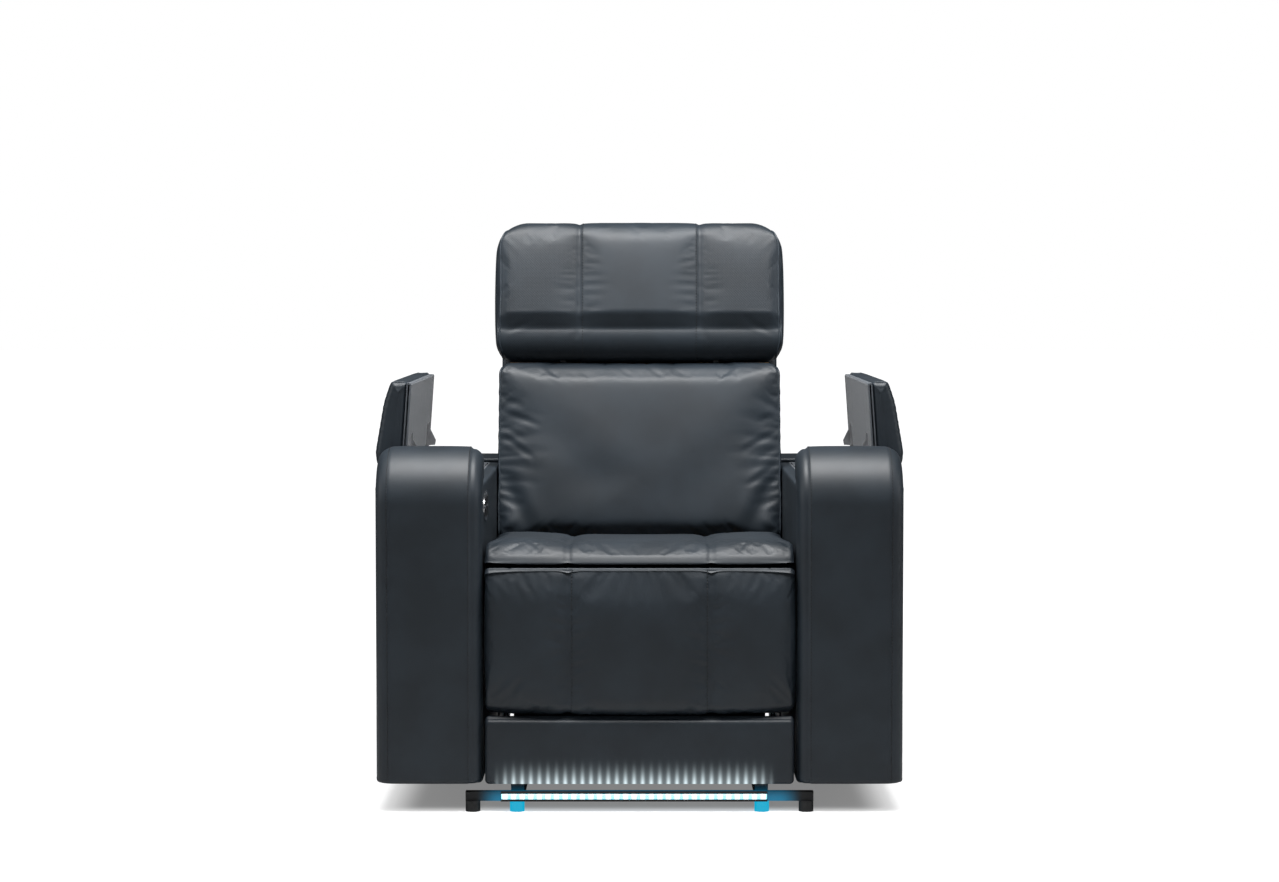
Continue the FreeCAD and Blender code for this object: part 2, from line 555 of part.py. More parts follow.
def mechanism():
    """Side plates, seat rails, springs, the folding links with their pins, and the drive."""
    pivot = (value("pivot_y"), value("pivot_height"))
    knee = (value("knee_y"), value("knee_z"))
    foot_pivot = (value("foot_pivot_y"), value("foot_pivot_z"))
    pin, bore = value("pin_radius"), value("pin_radius + running_gap")
    wall, half = value("link_wall"), value("link_wide / 2")
    main_x, toggle_x, foot_x = (value(n) for n in (
        "main_link_face", "toggle_link_face", "footrest_link_face"))
    plate_in, plate_out = value("plate_face"), value("plate_outer")

    plates, rails, spacers, posts = [], [], [], []
    for side in (-1, 1):
        outline = [("rail_front", "rail_top"), ("rail_front", "pivot_height - plate_nose"),
                   ("cross_front - plate_foot_front", "base_rail_top"),
                   ("cross_rear + plate_foot_rear", "base_rail_top"),
                   ("rail_rear", "rail_top - plate_heel"), ("rail_rear", "rail_top")]
        plate = sketch_plate("side_plate", outline, "plate_wall",
                             "plate_face" if side > 0 else "-plate_outer",
                             [("pivot_y", "pivot_height", "pin_radius"),
                              ("cross_front + window_inset", "rail_top - window_drop", "window_radius"),
                              ("cross_rear - window_inset", "rail_top - window_drop", "window_radius")])
        foot = block(("base_rail_inner", "plate_face"),
                     ("cross_front - plate_foot_front", "cross_rear + plate_foot_rear"),
                     ("base_rail_top", "base_rail_top + plate_wall"), side)
        ledge = block(("plate_outer", "rail_outer"), ("rail_front", "rail_rear"),
                      ("rail_top - plate_wall", "rail_top"), side)
        plates.append(fuse([plate, foot, ledge]))
        rails.append(block(("plate_face", "rail_outer"), ("rail_front", "rail_rear"),
                           ("rail_top", "rail_high"), side))
        spacers += [block(("rail_outer", "arm_inner"), (f"{y} - spacer_long / 2", f"{y} + spacer_long / 2"),
                          ("rail_top", "rail_high"), side)
                    for y in ("spacer_front", "spacer_rear")]
        post = block(("rail_outer", "rail_outer + post_wall"),
                     ("seat_rear + post_gap", "back_pivot_y + bracket_arm"),
                     ("rail_top", "back_pivot_height + bracket_arm"), side)
        axle = rod("x", "back_pin", "rail_outer - board_side_inset - post_gap", "rail_outer + post_wall",
                   ("back_pivot_y", "back_pivot_height"), side)
        posts.append(fuse([post, axle]))
    fit("side_plates", group(plates))
    fit("seat_side_rails", group(rails))
    fit("arm_spacers", group(spacers))
    fit("back_posts", group(posts))
    fit("seat_cross_rails", group([
        block(("-plate_face", "plate_face"), depth, ("rail_top", "rail_high"))
        for depth in (("rail_front", "rail_front + rail_wide"), ("rail_rear - rail_wide", "rail_rear"))]))
    bands = []
    for i in range(int(value("spring_count"))):
        low = f"rail_front + {i + 0.5} * (rail_rear - rail_front) / spring_count - spring_wide / 2"
        bands.append(block(("-rail_outer + spring_inset", "rail_outer - spring_inset"),
                           (low, f"{low} + spring_wide"), ("rail_high", "rail_high + spring_wall")))
    fit("seat_webbing", group(bands))
    tubes = [rod("x", "cross_tube_radius", "-plate_face", "plate_face", (y, "cross_tube_height"))
             for y in ("cross_front", "cross_rear")]
    fit("cross_tubes", group(tubes))

    links = []
    for side in (-1, 1):
        for label, low, start, end, holes in (
                ("main", main_x, pivot, knee, [(pivot, bore), (knee, pin)]),
                ("toggle", toggle_x, knee, foot_pivot, [(knee, bore), (foot_pivot, pin)])):
            link = plate_link(start, end, low, wall, half, holes)
            links.append((label, link if side > 0 else link.mirror(V(), X_AXIS)))
    mains = [link for label, link in links if label == "main"]
    outer = Part.makeCylinder(value("tube_radius"), 2 * main_x, V(-main_x, *pivot), X_AXIS)
    inner = Part.makeCylinder(value("tube_radius - tube_wall"), 2 * main_x, V(-main_x, *pivot), X_AXIS)
    angle, reach = math.radians(value("fold_lever")), value("lever_length")
    lever_end = (pivot[0] - reach * math.cos(angle), pivot[1] + reach * math.sin(angle))
    lever = plate_link(pivot, lever_end, -wall, 2 * wall, half, [(lever_end, pin - 1)])
    tube = outer.fuse(lever).cut(inner)
    solid(Part.makeCompound([tube] + mains), "main_links")
    toggles = [link for label, link in links if label == "toggle"]
    solid(Part.makeCompound(toggles), "toggle_links")
    head, flush, proud = 1.6 * pin, value("head_gap"), value("pin_head")
    far = toggle_x + wall
    fixed = [x_pin(*pivot, main_x - proud, plate_out + proud, pin, side,
                   [(main_x - proud, main_x - flush, head), (plate_out, plate_out + proud, head)])
             for side in (-1, 1)]
    solid(Part.makeCompound(fixed), "fixed_pins")
    knees = [x_pin(*knee, main_x - proud, far + proud, pin, side,
                   [(main_x - proud, main_x, head), (far + flush, far + proud, head)]) for side in (-1, 1)]
    solid(Part.makeCompound(knees), "knee_pins")
    feet = [x_pin(*foot_pivot, toggle_x, foot_x + wall + flush, pin, side) for side in (-1, 1)]
    solid(Part.makeCompound(feet), "footrest_pins")

    brackets = []
    board_rear = value("footrest_board_rear")
    flange_wide, flange_wall, heel, drop, high = (value(n) for n in (
        "link_flange", "link_flange_wall", "link_heel", "link_flange_drop", "link_flange_high"))
    for side in (-1, 1):
        arm_link = plate_link(foot_pivot, (board_rear, foot_pivot[1]), foot_x, wall, half,
                              [(foot_pivot, bore)])
        keep = Part.makeBox(wall, foot_pivot[0] + heel - board_rear, high,
                            V(foot_x, board_rear, foot_pivot[1] - high / 2))
        flange = Part.makeBox(flange_wide, flange_wall, high,
                              V(foot_x + wall - flange_wide, board_rear, foot_pivot[1] - drop))
        bracket = arm_link.common(keep).fuse(flange).removeSplitter()
        brackets.append(bracket if side > 0 else bracket.mirror(V(), X_AXIS))
    solid(Part.makeCompound(brackets), "footrest_brackets")
    fit("footrest_board", block(("-footrest_board_half", "footrest_board_half"),
                                ("footrest_back", "footrest_board_rear"),
                                ("footrest_bottom + board_inset", "footrest_top - board_inset")))

    half_rail = "drive_rail_wide / 2"
    gearbox_start = "cross_rear + rail_overhang + link_gap"
    gearbox_end = f"{gearbox_start} + gearbox_long"
    fit("drive_rail", block((f"-{half_rail}", half_rail), ("cross_front - rail_overhang", gearbox_start),
                            ("drive_rail_low", "drive_rail_high")))
    start = "cross_rear - carriage_stand"
    sledge = block((f"-{half_rail} - carriage_cheek", f"{half_rail} + carriage_cheek"),
                   (start, f"{start} + carriage_long"),
                   ("drive_rail_high - carriage_skirt", "drive_rail_high + carriage_rise"))
    way = block((f"-{half_rail} - slide_room", f"{half_rail} + slide_room"),
                (f"{start} - 1", f"{start} + carriage_long + 1"),
                ("drive_rail_high - carriage_skirt - 1", "drive_rail_high + slide_room"))
    fit("drive_carriage", cut(sledge, [way]))
    gearbox = block((f"-{half_rail} - gearbox_cheek", f"{half_rail} + gearbox_cheek"),
                    (gearbox_start, gearbox_end),
                    ("drive_rail_low - gearbox_drop", "drive_rail_high + gearbox_rise"))
    motor_end, motor_x = f"{gearbox_end} - motor_inset", f"{half_rail} + motor_side + motor_radius"
    motor = rod("y", "motor_radius", f"{motor_end} - motor_long", motor_end,
                (motor_x, "drive_rail_low + motor_radius + link_gap"))
    mate = block((half_rail, motor_x), (motor_end, gearbox_end),
                 ("drive_rail_low", "drive_rail_high + gearbox_rise"))
    fit("drive_motor", fuse([gearbox, motor, mate]))


# Soft parts

def seam_inset(x):
    """How deep the skin is drawn in at X by the two stitched seams."""
    return value("seam_dip") * max(0, 1 - abs(abs(x) - value("seam_place")) / value("seam_reach"))


def side_inset(x, half, depth):
    """How deep the skin is drawn in towards the sides."""
    return depth * (abs(x) / half) ** 6


def soft_stations(half, seam, reach):
    """Stations across a cushion, close together at the seams and the sides."""
    draw = value("side_reach")
    right = [seam / 2, seam - reach, seam, seam + reach, (seam + half) / 2, half - draw, half - draw / 2,
             half - draw / 8, half]
    return [-x for x in reversed(right)] + [0] + right


def seat_cushion():
    """The seat: a flat base, a lip over the footrest, a high rolled nose and a top that falls rearward."""
    base_z, lip, front, step, rear = (value(n) for n in (
        "seat_base", "lip_height", "seat_front", "seat_step", "seat_rear"))
    half, turn = value("pad_half_width"), math.cos(math.radians(45))
    rise, long, fall, corner = (value(n) for n in ("nose_rise", "nose_long", "seat_fall", "seat_rear_round"))

    def section(x):
        drop = seam_inset(x) + side_inset(x, half, value("side_draw"))
        y, high = front + drop, rise - drop
        crest, end = (y + long, lip + high), (rear - corner, lip + rise - fall - drop)
        return [(rear, base_z), (step, base_z), (step, lip), (y, lip),
                ((y + long * (1 - turn), lip + high * turn), crest),
                (arc_middle(crest, end, value("seat_crown")), end),
                ((rear - corner * (1 - turn), end[1] - corner * (1 - turn)), (rear, end[1] - corner))]

    stations = soft_stations(half, value("seam_place"), value("seam_reach"))
    return solid(across(stations, section), "seat_cushion")


def footrest_pad():
    """The footrest's pad, hanging in front: a crowned face with the same two seams."""
    back, front, low, high = (value(n) for n in (
        "footrest_back", "footrest_front", "footrest_bottom", "footrest_top"))
    half, slope, corner = value("pad_half_width"), value("footrest_slope"), value("footrest_round")
    turn = 1 - math.cos(math.radians(45))

    def section(x):
        drop = seam_inset(x) + side_inset(x, half, value("side_draw"))
        y, shrink = front + drop, side_inset(x, half, value("side_draw"))
        top, bottom = (y, high - corner), (y, low + shrink + corner)
        shoulder = corner - slope
        return [(back, low + shrink), (back, high), (y + shoulder, high - slope),
                ((y + shoulder * turn, high - slope - shoulder * turn), top),
                (arc_middle(top, bottom, -value("footrest_bulge")), bottom),
                ((y + corner * turn, low + shrink + corner * turn), (y + corner, low + shrink))]

    stations = soft_stations(half, value("seam_place"), value("seam_reach"))
    return solid(across(stations, section), "footrest_pad")


BACK = FreeCAD.Placement(V(0, value("back_pivot_y"), value("back_pivot_height")),
                         FreeCAD.Rotation(X_AXIS, -value("back_lean")))


def leaning(shape, label):
    """A worked-out shape as a piece that leans with the back."""
    obj = fresh("Part::Feature")
    obj.Shape = shape
    obj.Placement = BACK
    return name_part(obj, label)


def back_cushion():
    """The back's cushion: crowned face, rolled top and bottom, drawn in at the sides."""
    face, back, low, high = (value(n) for n in (
        "cushion_face", "cushion_back", "cushion_low", "cushion_high"))
    half, turn = value("back_half_width"), 1 - math.cos(math.radians(45))
    draw, upper, lower = (value(n) for n in ("cushion_draw", "cushion_round", "cushion_low_round"))

    def section(x):
        drop, shrink = side_inset(x, half, draw), side_inset(x, half, value("side_draw"))
        f, bottom, top = -face + drop, low + shrink, high - shrink
        start, end = (f, bottom + lower), (f, top - upper)
        bulge = value("cushion_bulge") * (1 - (x / half) ** 2) + value("cushion_side_bulge")
        return [(back, bottom), (f + lower, bottom), ((f + lower * turn, bottom + lower * turn), start),
                (arc_middle(start, end, bulge), end),
                ((f + upper * turn, top - upper * turn), (f + upper, top)), (back, top)]

    stations = soft_stations(half, half / 2, value("seam_reach"))
    return leaning(across(stations, section), "back_cushion")


def headrest_pad():
    """The headrest: a roll about its hinge axis at the bottom, a full face, round upper corners."""
    half, corner, roll, seam = (value(n) for n in (
        "head_half_width", "head_corner", "head_roll", "head_seam"))
    w0, u0, front, back, high = (value(n) for n in (
        "head_axis_back", "head_axis_high", "head_front", "head_back", "head_top"))
    nose, rear, reach = (value(n) for n in ("head_top_round", "head_rear_round", "head_seam_reach"))
    turn = math.cos(math.radians(45))

    def section(x):
        dip = value("head_seam_dip") * max(0, 1 - abs(abs(x) - seam) / reach)
        drop = side_inset(x, half, value("head_draw")) + dip
        r, top, f = roll - drop, high - edge_drop(half - abs(x), corner) - dip, -front + drop
        start, end = (f, u0 + reach), (f, top - nose)
        return [(w0 + r, u0), ((w0 + r * turn, u0 - r * turn), (w0, u0 - r)),
                ((w0 - r * turn, u0 - r * turn), (w0 - r, u0)), start,
                (arc_middle(start, end, value("head_bulge")), end),
                ((f + nose * (1 - turn), top - nose * (1 - turn)), (f + nose, top)), (back - rear, top),
                ((back - rear * (1 - turn), top - rear * (1 - turn)), (back, top - rear))]

    right = [seam / 2, seam - reach, seam, seam + reach, (seam + half) / 2]
    right += [half - corner * share for share in (1, 0.62, 0.3, 0.08, 0)]
    pad = solid(across([-x for x in reversed(right)] + [0] + right, section))
    wide = ("head_hinge_place - head_arm_wall - head_slot_room",
            "head_hinge_place + head_arm_wall + head_slot_room")
    floor = "head_axis_high - head_roll - carrier_wall"
    rear_slot = ("head_axis_back - head_eye - carrier_gap", "head_back + carrier_wall")
    front_slot = ("head_axis_back - head_roll + head_eye", "head_axis_back - carrier_wall")
    slots = [block(wide, depth, (floor, roof), side) for side in (-1, 1) for depth, roof in (
        (rear_slot, "head_axis_high + head_eye + head_slot_room"),
        (front_slot, "head_axis_high + head_slot_room"))]
    fit("headrest_pad", cut(pad, slots), BACK)


def back():
    """The back's board, shell and brackets, and the headrest with its hinge, all leaning."""
    wide = ("-back_half_width", "back_half_width")
    board_half = "rail_outer - board_side_inset"
    fit("back_board", block((f"-({board_half})", board_half), ("cushion_back", "board_back"),
                            ("board_low", "board_high")), BACK)
    shell = block(wide, ("board_back", "board_back + shell_wall"), ("shell_low", "shell_high"))
    fit("back_shell", shell, BACK)
    arm_size = "bracket_arm"
    outline = [(f"-{arm_size}", f"-{arm_size}"), ("board_back", f"-{arm_size}"),
               ("board_back", "board_low + bracket_high"),
               ("cushion_back + post_gap", "board_low + bracket_high"), ("cushion_back + post_gap", arm_size),
               (f"-{arm_size}", arm_size)]
    brackets = []
    for side in (-1, 1):
        low = board_half if side > 0 else f"-({board_half}) - bracket_wall"
        brackets.append(sketch_plate("back_bracket", outline, "bracket_wall", low,
                                     [("0", "0", "back_pin + running_gap")]))
    fit("back_brackets", group(brackets), BACK)

    carriers, arms = [], []
    axis = ("head_axis_back", "head_axis_high")
    for side in (-1, 1):
        outer = ("head_hinge_place + link_gap", "head_hinge_place + head_arm_wall")
        inner = ("head_hinge_place - head_arm_wall", "head_hinge_place - link_gap")
        foot = ("cushion_high + carrier_gap", "cushion_high + carrier_gap + carrier_wall")
        upright = block(outer, ("head_axis_back - head_eye", "head_axis_back + head_eye"),
                        (foot[0], "head_axis_high"), side)
        shelf = block(outer, ("head_axis_back - head_eye", "cushion_back"), foot, side)
        eye = rod("x", "head_eye", *outer, axis, side)
        axle = rod("x", "head_pin", inner[0], outer[1], axis, side)
        carriers.append(fuse([upright, shelf, eye, axle]))
        reach = block(inner, ("head_axis_back", "head_back"),
                      ("head_axis_high - head_eye + link_gap", "head_axis_high + head_eye"), side)
        ring = rod("x", "head_eye", *inner, axis, side)
        hole = rod("x", "head_pin + running_gap", f"{inner[0]} - 1", "head_hinge_place", axis, side)
        arms.append(cut(fuse([reach, ring]), [hole]))
    fit("headrest_carriers", group(carriers), BACK)
    half = "head_half_width - head_board_inset"
    plate = block((f"-({half})", half), ("head_back", "head_back + head_board_wall"),
                  ("head_axis_high - head_eye + link_gap", "head_top - head_rear_round - post_gap"))
    fit("headrest_board", fuse([plate] + arms), BACK)


# Controls on the left arm's inner face

BUTTONS = (("head_forward", -1, 1), ("head_back", 1, 1), ("recline", -1, -1), ("upright", 1, -1))


def controls():
    """The oval chrome plate, four push buttons in its openings, and the switch module behind."""
    face, wall = value("-arm_inner"), value("control_wall")
    middle_y, middle_z = value("control_middle"), value("control_height")
    ring = Part.Ellipse(V(0, 0, 0), value("control_long / 2"), value("control_high / 2")).toShape()
    upright = FreeCAD.Rotation(Y_AXIS, Z_AXIS, X_AXIS, "XYZ")
    ring.Placement = FreeCAD.Placement(V(face, middle_y, middle_z), upright)
    plate = Part.Face(Part.Wire([ring])).extrude(V(wall, 0, 0))
    room, long, high = value("button_room"), value("button_long"), value("button_high")
    for _, across_y, up in BUTTONS:
        y = middle_y + across_y * value("button_spread / 2")
        z = middle_z + up * value("button_rise / 2")
        plate = plate.cut(Part.makeBox(wall + 2, long + 2 * room, high + 2 * room,
                                       V(face - 1, y - long / 2 - room, z - high / 2 - room)))
    solid(plate, "control_plate")
    for name, across_y, up in BUTTONS:
        y = f"control_middle + {across_y} * button_spread / 2"
        z = f"control_height + {up} * button_rise / 2"
        fit(f"button_{name}", block(("arm_inner - control_wall - button_proud", "arm_inner + control_wall"),
                                    (f"{y} - button_long / 2", f"{y} + button_long / 2"),
                                    (f"{z} - button_high / 2", f"{z} + button_high / 2"), -1))
    fit("switch_module", block(
        ("arm_inner + control_wall + button_travel + button_room", "arm_inner + switch_depth"),
        ("control_middle - switch_half", "control_middle + switch_half"),
        ("control_height - switch_rise", "control_height + switch_rise"), -1))


for arm_name, arm_side in SIDES:
    arm(arm_name, arm_side)
    lid(arm_name, arm_side)
fit("hinge_stems", group(hinge_stems))
base()
mechanism()
seat_cushion()
footrest_pad()
back()
back_cushion()
headrest_pad()
controls()
doc.recompute()

failed = [f"{obj.Name} ({obj.Label}, {obj.TypeId})" for obj in doc.Objects
          if {"Invalid", "Error"} & set(obj.State)]
failed += [f"{obj.Label} has no valid shape" for obj in parts
           if obj.Shape.isNull() or not obj.Shape.isValid()]
if failed:
    raise RuntimeError("; ".join(failed))

os.makedirs("parts", exist_ok=True)
for obj in parts:
    obj.Shape.exportStep(f"parts/{obj.Label}.step")
print(len(parts), "pieces written")
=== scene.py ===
"""Dresses the cinema recliner seat: covers, cushions, lids, light strip, studio and camera.

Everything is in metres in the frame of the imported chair: the front faces -Y and +Z is up. The back's
pieces are drawn upright in (x, w, u), w rearward and u up from the back's pivot, and then leaned. The
lids are drawn shut and then swung open about their hinge pins.
"""
import json
import math

import bpy
import numpy as np
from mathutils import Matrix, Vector


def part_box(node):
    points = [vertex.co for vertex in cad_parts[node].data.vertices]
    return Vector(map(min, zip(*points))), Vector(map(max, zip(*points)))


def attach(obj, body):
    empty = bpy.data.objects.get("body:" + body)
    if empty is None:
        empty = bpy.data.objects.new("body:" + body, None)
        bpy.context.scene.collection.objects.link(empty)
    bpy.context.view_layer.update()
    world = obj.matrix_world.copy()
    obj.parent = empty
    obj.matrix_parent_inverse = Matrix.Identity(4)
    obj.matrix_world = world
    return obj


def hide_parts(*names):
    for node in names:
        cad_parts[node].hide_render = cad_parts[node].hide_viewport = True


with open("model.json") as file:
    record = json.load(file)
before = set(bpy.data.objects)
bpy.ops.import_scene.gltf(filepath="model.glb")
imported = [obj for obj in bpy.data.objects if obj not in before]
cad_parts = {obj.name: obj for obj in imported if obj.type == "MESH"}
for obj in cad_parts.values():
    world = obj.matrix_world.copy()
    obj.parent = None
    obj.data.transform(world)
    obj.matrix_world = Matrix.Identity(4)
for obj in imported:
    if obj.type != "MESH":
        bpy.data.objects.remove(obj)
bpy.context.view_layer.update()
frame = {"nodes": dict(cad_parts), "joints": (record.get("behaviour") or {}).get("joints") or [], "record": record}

NODES = frame["nodes"]
JOINTS = {joint["name"]: joint for joint in frame["joints"]}
MM = 0.001
SIDES = (("left", -1), ("right", 1))

# Places and angles that the frame gives, and the angles at which its leaning parts stand
BACK_PIVOT = np.array(JOINTS["back_recline"]["pos_m"])
BACK_LEAN = math.radians(13)
LID_OPEN = math.radians(JOINTS["left_lid_hinge"]["range_deg"][1])
LID_HINGE = np.array(JOINTS["right_lid_hinge"]["pos_m"])


def vertices(node):
    """The vertices of a CAD node, one row each."""
    places = np.zeros(len(NODES[node].data.vertices) * 3, np.float32)
    NODES[node].data.vertices.foreach_get("co", places)
    return places.reshape(-1, 3).astype(float)


def span(places):
    """The lowest and highest corner of a cloud of points."""
    return places.min(0), places.max(0)


def turned(places, axis, angle, about):
    """The points turned about an axis through a point: the usual 3 x 3 rotation on the other two axes."""
    first, second = {"x": (1, 2), "y": (2, 0)}[axis]
    moved = places - about
    out = moved.copy()
    out[..., first] = moved[..., first] * math.cos(angle) - moved[..., second] * math.sin(angle)
    out[..., second] = moved[..., first] * math.sin(angle) + moved[..., second] * math.cos(angle)
    return out + about


def leaned(places):
    """Points drawn upright as (x, w, u) from the back's pivot, leaned back into the frame."""
    return turned(places + BACK_PIVOT, "x", -BACK_LEAN, BACK_PIVOT)


def back_span(node):
    """The box of a leaning node in the back's upright (x, w, u)."""
    return span(turned(vertices(node), "x", BACK_LEAN, BACK_PIVOT) - BACK_PIVOT)


def hinge_of(side):
    """The lid hinge's axis point of one side."""
    return LID_HINGE * np.array([side, 1, 1])


def swung(places, side):
    """Points of a lid drawn shut, swung open about its hinge."""
    return turned(places, "y", side * LID_OPEN, hinge_of(side))


def lid_span(node, side):
    """The box of a lid's node as it lies when the lid is shut."""
    return span(turned(vertices(node), "y", -side * LID_OPEN, hinge_of(side)))


# Outlines and closed skins

def rounded(corners, step=6 * MM):
    """Evenly spaced points about a closed outline whose corners (a, b, radius) are arcs.

    Each arc runs between the two points that lie radius / tan(half the angle) from its corner, and the
    whole line is then read off at equal steps of its length. Returns points and outward normals.
    """
    line = []
    for i, (a, b, radius) in enumerate(corners):
        here = np.array([a, b])
        to_last = np.array(corners[i - 1][:2]) - here
        to_next = np.array(corners[(i + 1) % len(corners)][:2]) - here
        to_last, to_next = (v / np.linalg.norm(v) for v in (to_last, to_next))
        half = math.acos(np.clip(to_last @ to_next, -1, 1)) / 2
        reach = radius / math.tan(half)
        start, end = here + to_last * reach, here + to_next * reach
        middle = to_last + to_next
        centre = here + middle / np.linalg.norm(middle) * radius / math.sin(half)
        share = np.linspace(0, 1, 9)[:, None]
        arc = start * (1 - share) + end * share - centre
        line.append(centre + arc / np.linalg.norm(arc, axis=1)[:, None] * radius)
    line = np.vstack(line)
    line = np.vstack([line, line[:1]])
    length = np.r_[0, np.cumsum(np.linalg.norm(np.diff(line, axis=0), axis=1))]
    count = int(round(length[-1] / step))
    at = np.linspace(0, length[-1], count, endpoint=False)
    points = np.stack([np.interp(at, length, line[:, k]) for k in (0, 1)], 1)
    along = np.roll(points, -1, 0) - np.roll(points, 1, 0)
    normals = np.stack([along[:, 1], -along[:, 0]], 1)
    normals /= np.linalg.norm(normals, axis=1)[:, None]
    area = np.sum(points[:, 0] * np.roll(points[:, 1], -1) - np.roll(points[:, 0], -1) * points[:, 1])
    return points, normals * np.sign(area)


def onto_spine(points, ends):
    """The nearest point of a straight spine to each point: the projection, held between its ends."""
    start, run = np.array(ends[0]), np.array(ends[1]) - np.array(ends[0])
    share = np.clip(((points - start) @ run) / max(run @ run, 1e-12), 0, 1)
    return start + share[..., None] * run


def finer(grid):
    """The grid with a new row and column between each two: midpoint = (9 (b + c) - a - d) / 16.

    Rings close on themselves; beyond the first and last ring the line runs straight on.
    """
    before, after = np.roll(grid, 1, 1), np.roll(grid, -1, 1)
    middle = (9 * (grid + after) - before - np.roll(grid, -2, 1)) / 16
    wide = np.stack([grid, middle], 2).reshape(len(grid), -1, 3)
    padded = np.concatenate([2 * wide[:1] - wide[1:2], wide, 2 * wide[-1:] - wide[-2:-1]])
    between = (9 * (padded[1:-2] + padded[2:-1]) - padded[:-3] - padded[3:]) / 16
    out = np.zeros((2 * len(wide) - 1,) + wide.shape[1:])
    out[0::2], out[1::2] = wide, between
    return out


class Skin:
    """A closed skin of rings: grid (rings, points, 3), its faces, and a fan at each end."""

    def __init__(self, name, grid):
        self.name, self.grid = name, grid
        self.object = None

    def faces(self):
        """Quads between neighbouring rings, and a triangle fan to each end's middle."""
        rings, count = self.grid.shape[:2]
        index = np.arange(rings * count).reshape(rings, count)
        after = np.roll(index, -1, 1)
        quads = np.stack([index[:-1], index[1:], after[1:], after[:-1]], -1).reshape(-1, 4)
        first, last = rings * count, rings * count + 1
        near = np.stack([index[0], after[0], np.full(count, first)], -1)
        far = np.stack([after[-1], index[-1], np.full(count, last)], -1)
        return quads.tolist() + near.tolist() + far.tolist()

    def places(self):
        """All vertices: the rings' points, then the middles of the two ends."""
        return np.vstack([self.grid.reshape(-1, 3), self.grid[0].mean(0), self.grid[-1].mean(0)])

    def build(self, finish, levels=0):
        """Make the object from the grid, refined by levels, its faces pointing outwards."""
        for _ in range(levels):
            self.grid = finer(self.grid)
        places, faces = self.places(), self.faces()
        mesh = bpy.data.meshes.new(self.name)
        mesh.from_pydata(places.tolist(), [], faces)
        if volume(mesh, places) < 0:
            mesh.flip_normals()
        mesh.polygons.foreach_set("use_smooth", [True] * len(mesh.polygons))
        mesh.materials.append(finish)
        self.object = bpy.data.objects.new(self.name, mesh)
        bpy.context.scene.collection.objects.link(self.object)
        return self.object

    def normals(self):
        """Outward normals of the grid: the cross product of its two central differences."""
        along = np.gradient(self.grid, axis=0)
        around = np.roll(self.grid, -1, 1) - np.roll(self.grid, 1, 1)
        normal = np.cross(along, around)
        normal /= np.maximum(np.linalg.norm(normal, axis=2), 1e-12)[..., None]
        outward = self.grid - self.grid.mean(1, keepdims=True)
        return normal * np.sign(np.sum(normal * outward))


def volume(mesh, places):
    """The signed volume of a closed mesh, by its triangles: a sixth of the sum of a . (b x c)."""
    mesh.calc_loop_triangles()
    corners = np.zeros(len(mesh.loop_triangles) * 3, np.int32)
    mesh.loop_triangles.foreach_get("vertices", corners)
    a, b, c = (places[corners.reshape(-1, 3)[:, k]] for k in range(3))
    return np.sum(a * np.cross(b, c)) / 6


def closed_rings(rings, spines, way, edge, bulge=0.0, steps=5):
    """Rings with both ends rounded and closed towards the spine.

    A quarter circle of the edge radius turns each end ring inwards, then three smaller rings run
    towards the spine on a shallow dome: shift along the way = edge * sin, and inwards = edge * (1 - cos).
    """
    def end(ring, spine, heading):
        inward = spine - ring
        length = np.maximum(np.linalg.norm(inward, axis=1), 1e-9)[:, None]
        turn = np.linspace(0, math.pi / 2, steps + 1)[1:]
        made = [ring + inward / length * np.minimum(edge * (1 - math.cos(t)), 0.9 * length)
                + heading * edge * math.sin(t) for t in turn]
        rim = made[-1]
        flat_spine = spine + heading * edge
        for share in (0.25, 0.5, 0.75, 0.93):
            made.append(rim * (1 - share) + flat_spine * share + heading * bulge * (1 - (1 - share) ** 2))
        return np.array(made)

    way = np.asarray(way, float)
    ways = (way, way) if way.ndim == 1 else way
    return np.concatenate([end(rings[0], spines[0], -ways[0])[::-1], rings,
                           end(rings[-1], spines[-1], ways[1])])


def across_x(outline, spine, half, edge, pull=None, step=6 * MM, bulge=0.0, name="skin"):
    """A cushion carried across X: the outline (points, normals) drawn in or out by pull(x, points).

    Each ring is the outline moved along its normals by pull, at X from -half + edge to half - edge.
    """
    points, normals = outline
    reach = half - edge
    stations = np.linspace(-reach, reach, int(round(2 * reach / step)) + 1)
    shift = np.zeros((len(stations), len(points))) if pull is None else pull(stations[:, None], points[None])
    flat = points[None] + normals[None] * shift[..., None]
    rings = np.concatenate([np.broadcast_to(stations[:, None, None], flat.shape[:2] + (1,)), flat], -1)
    middle = onto_spine(flat, spine)
    spines = np.concatenate([rings[..., :1], middle], -1)
    return Skin(name, closed_rings(rings, spines, (1, 0, 0), edge, bulge))


def round_corners(grid, half, level, radius, sign=1):
    """Round the two corners between the sides at half and the edge at a level of the third coordinate.

    The square of side radius at each corner goes onto a quarter disc: with a and b from 0 to 1 in it,
    a' = a * sqrt(1 - b^2 / 2) and b' = b * sqrt(1 - a^2 / 2).
    """
    x, u = grid[..., 0].copy(), grid[..., 2].copy()
    a = np.clip((np.abs(x) - half + radius) / radius, 0, 1)
    b = np.clip((sign * (u - level) + radius) / radius, 0, 1)
    grid[..., 0] = np.sign(x) * (np.abs(x) - radius * a * (1 - np.sqrt(1 - b ** 2 / 2)))
    grid[..., 2] = u - sign * radius * b * (1 - np.sqrt(1 - a ** 2 / 2))


# Seams, creases, stitches and welts

def ridge(distance, width):
    """A soft ridge across a line: exp(-(distance / width) squared)."""
    return np.exp(-(distance / width) ** 2)


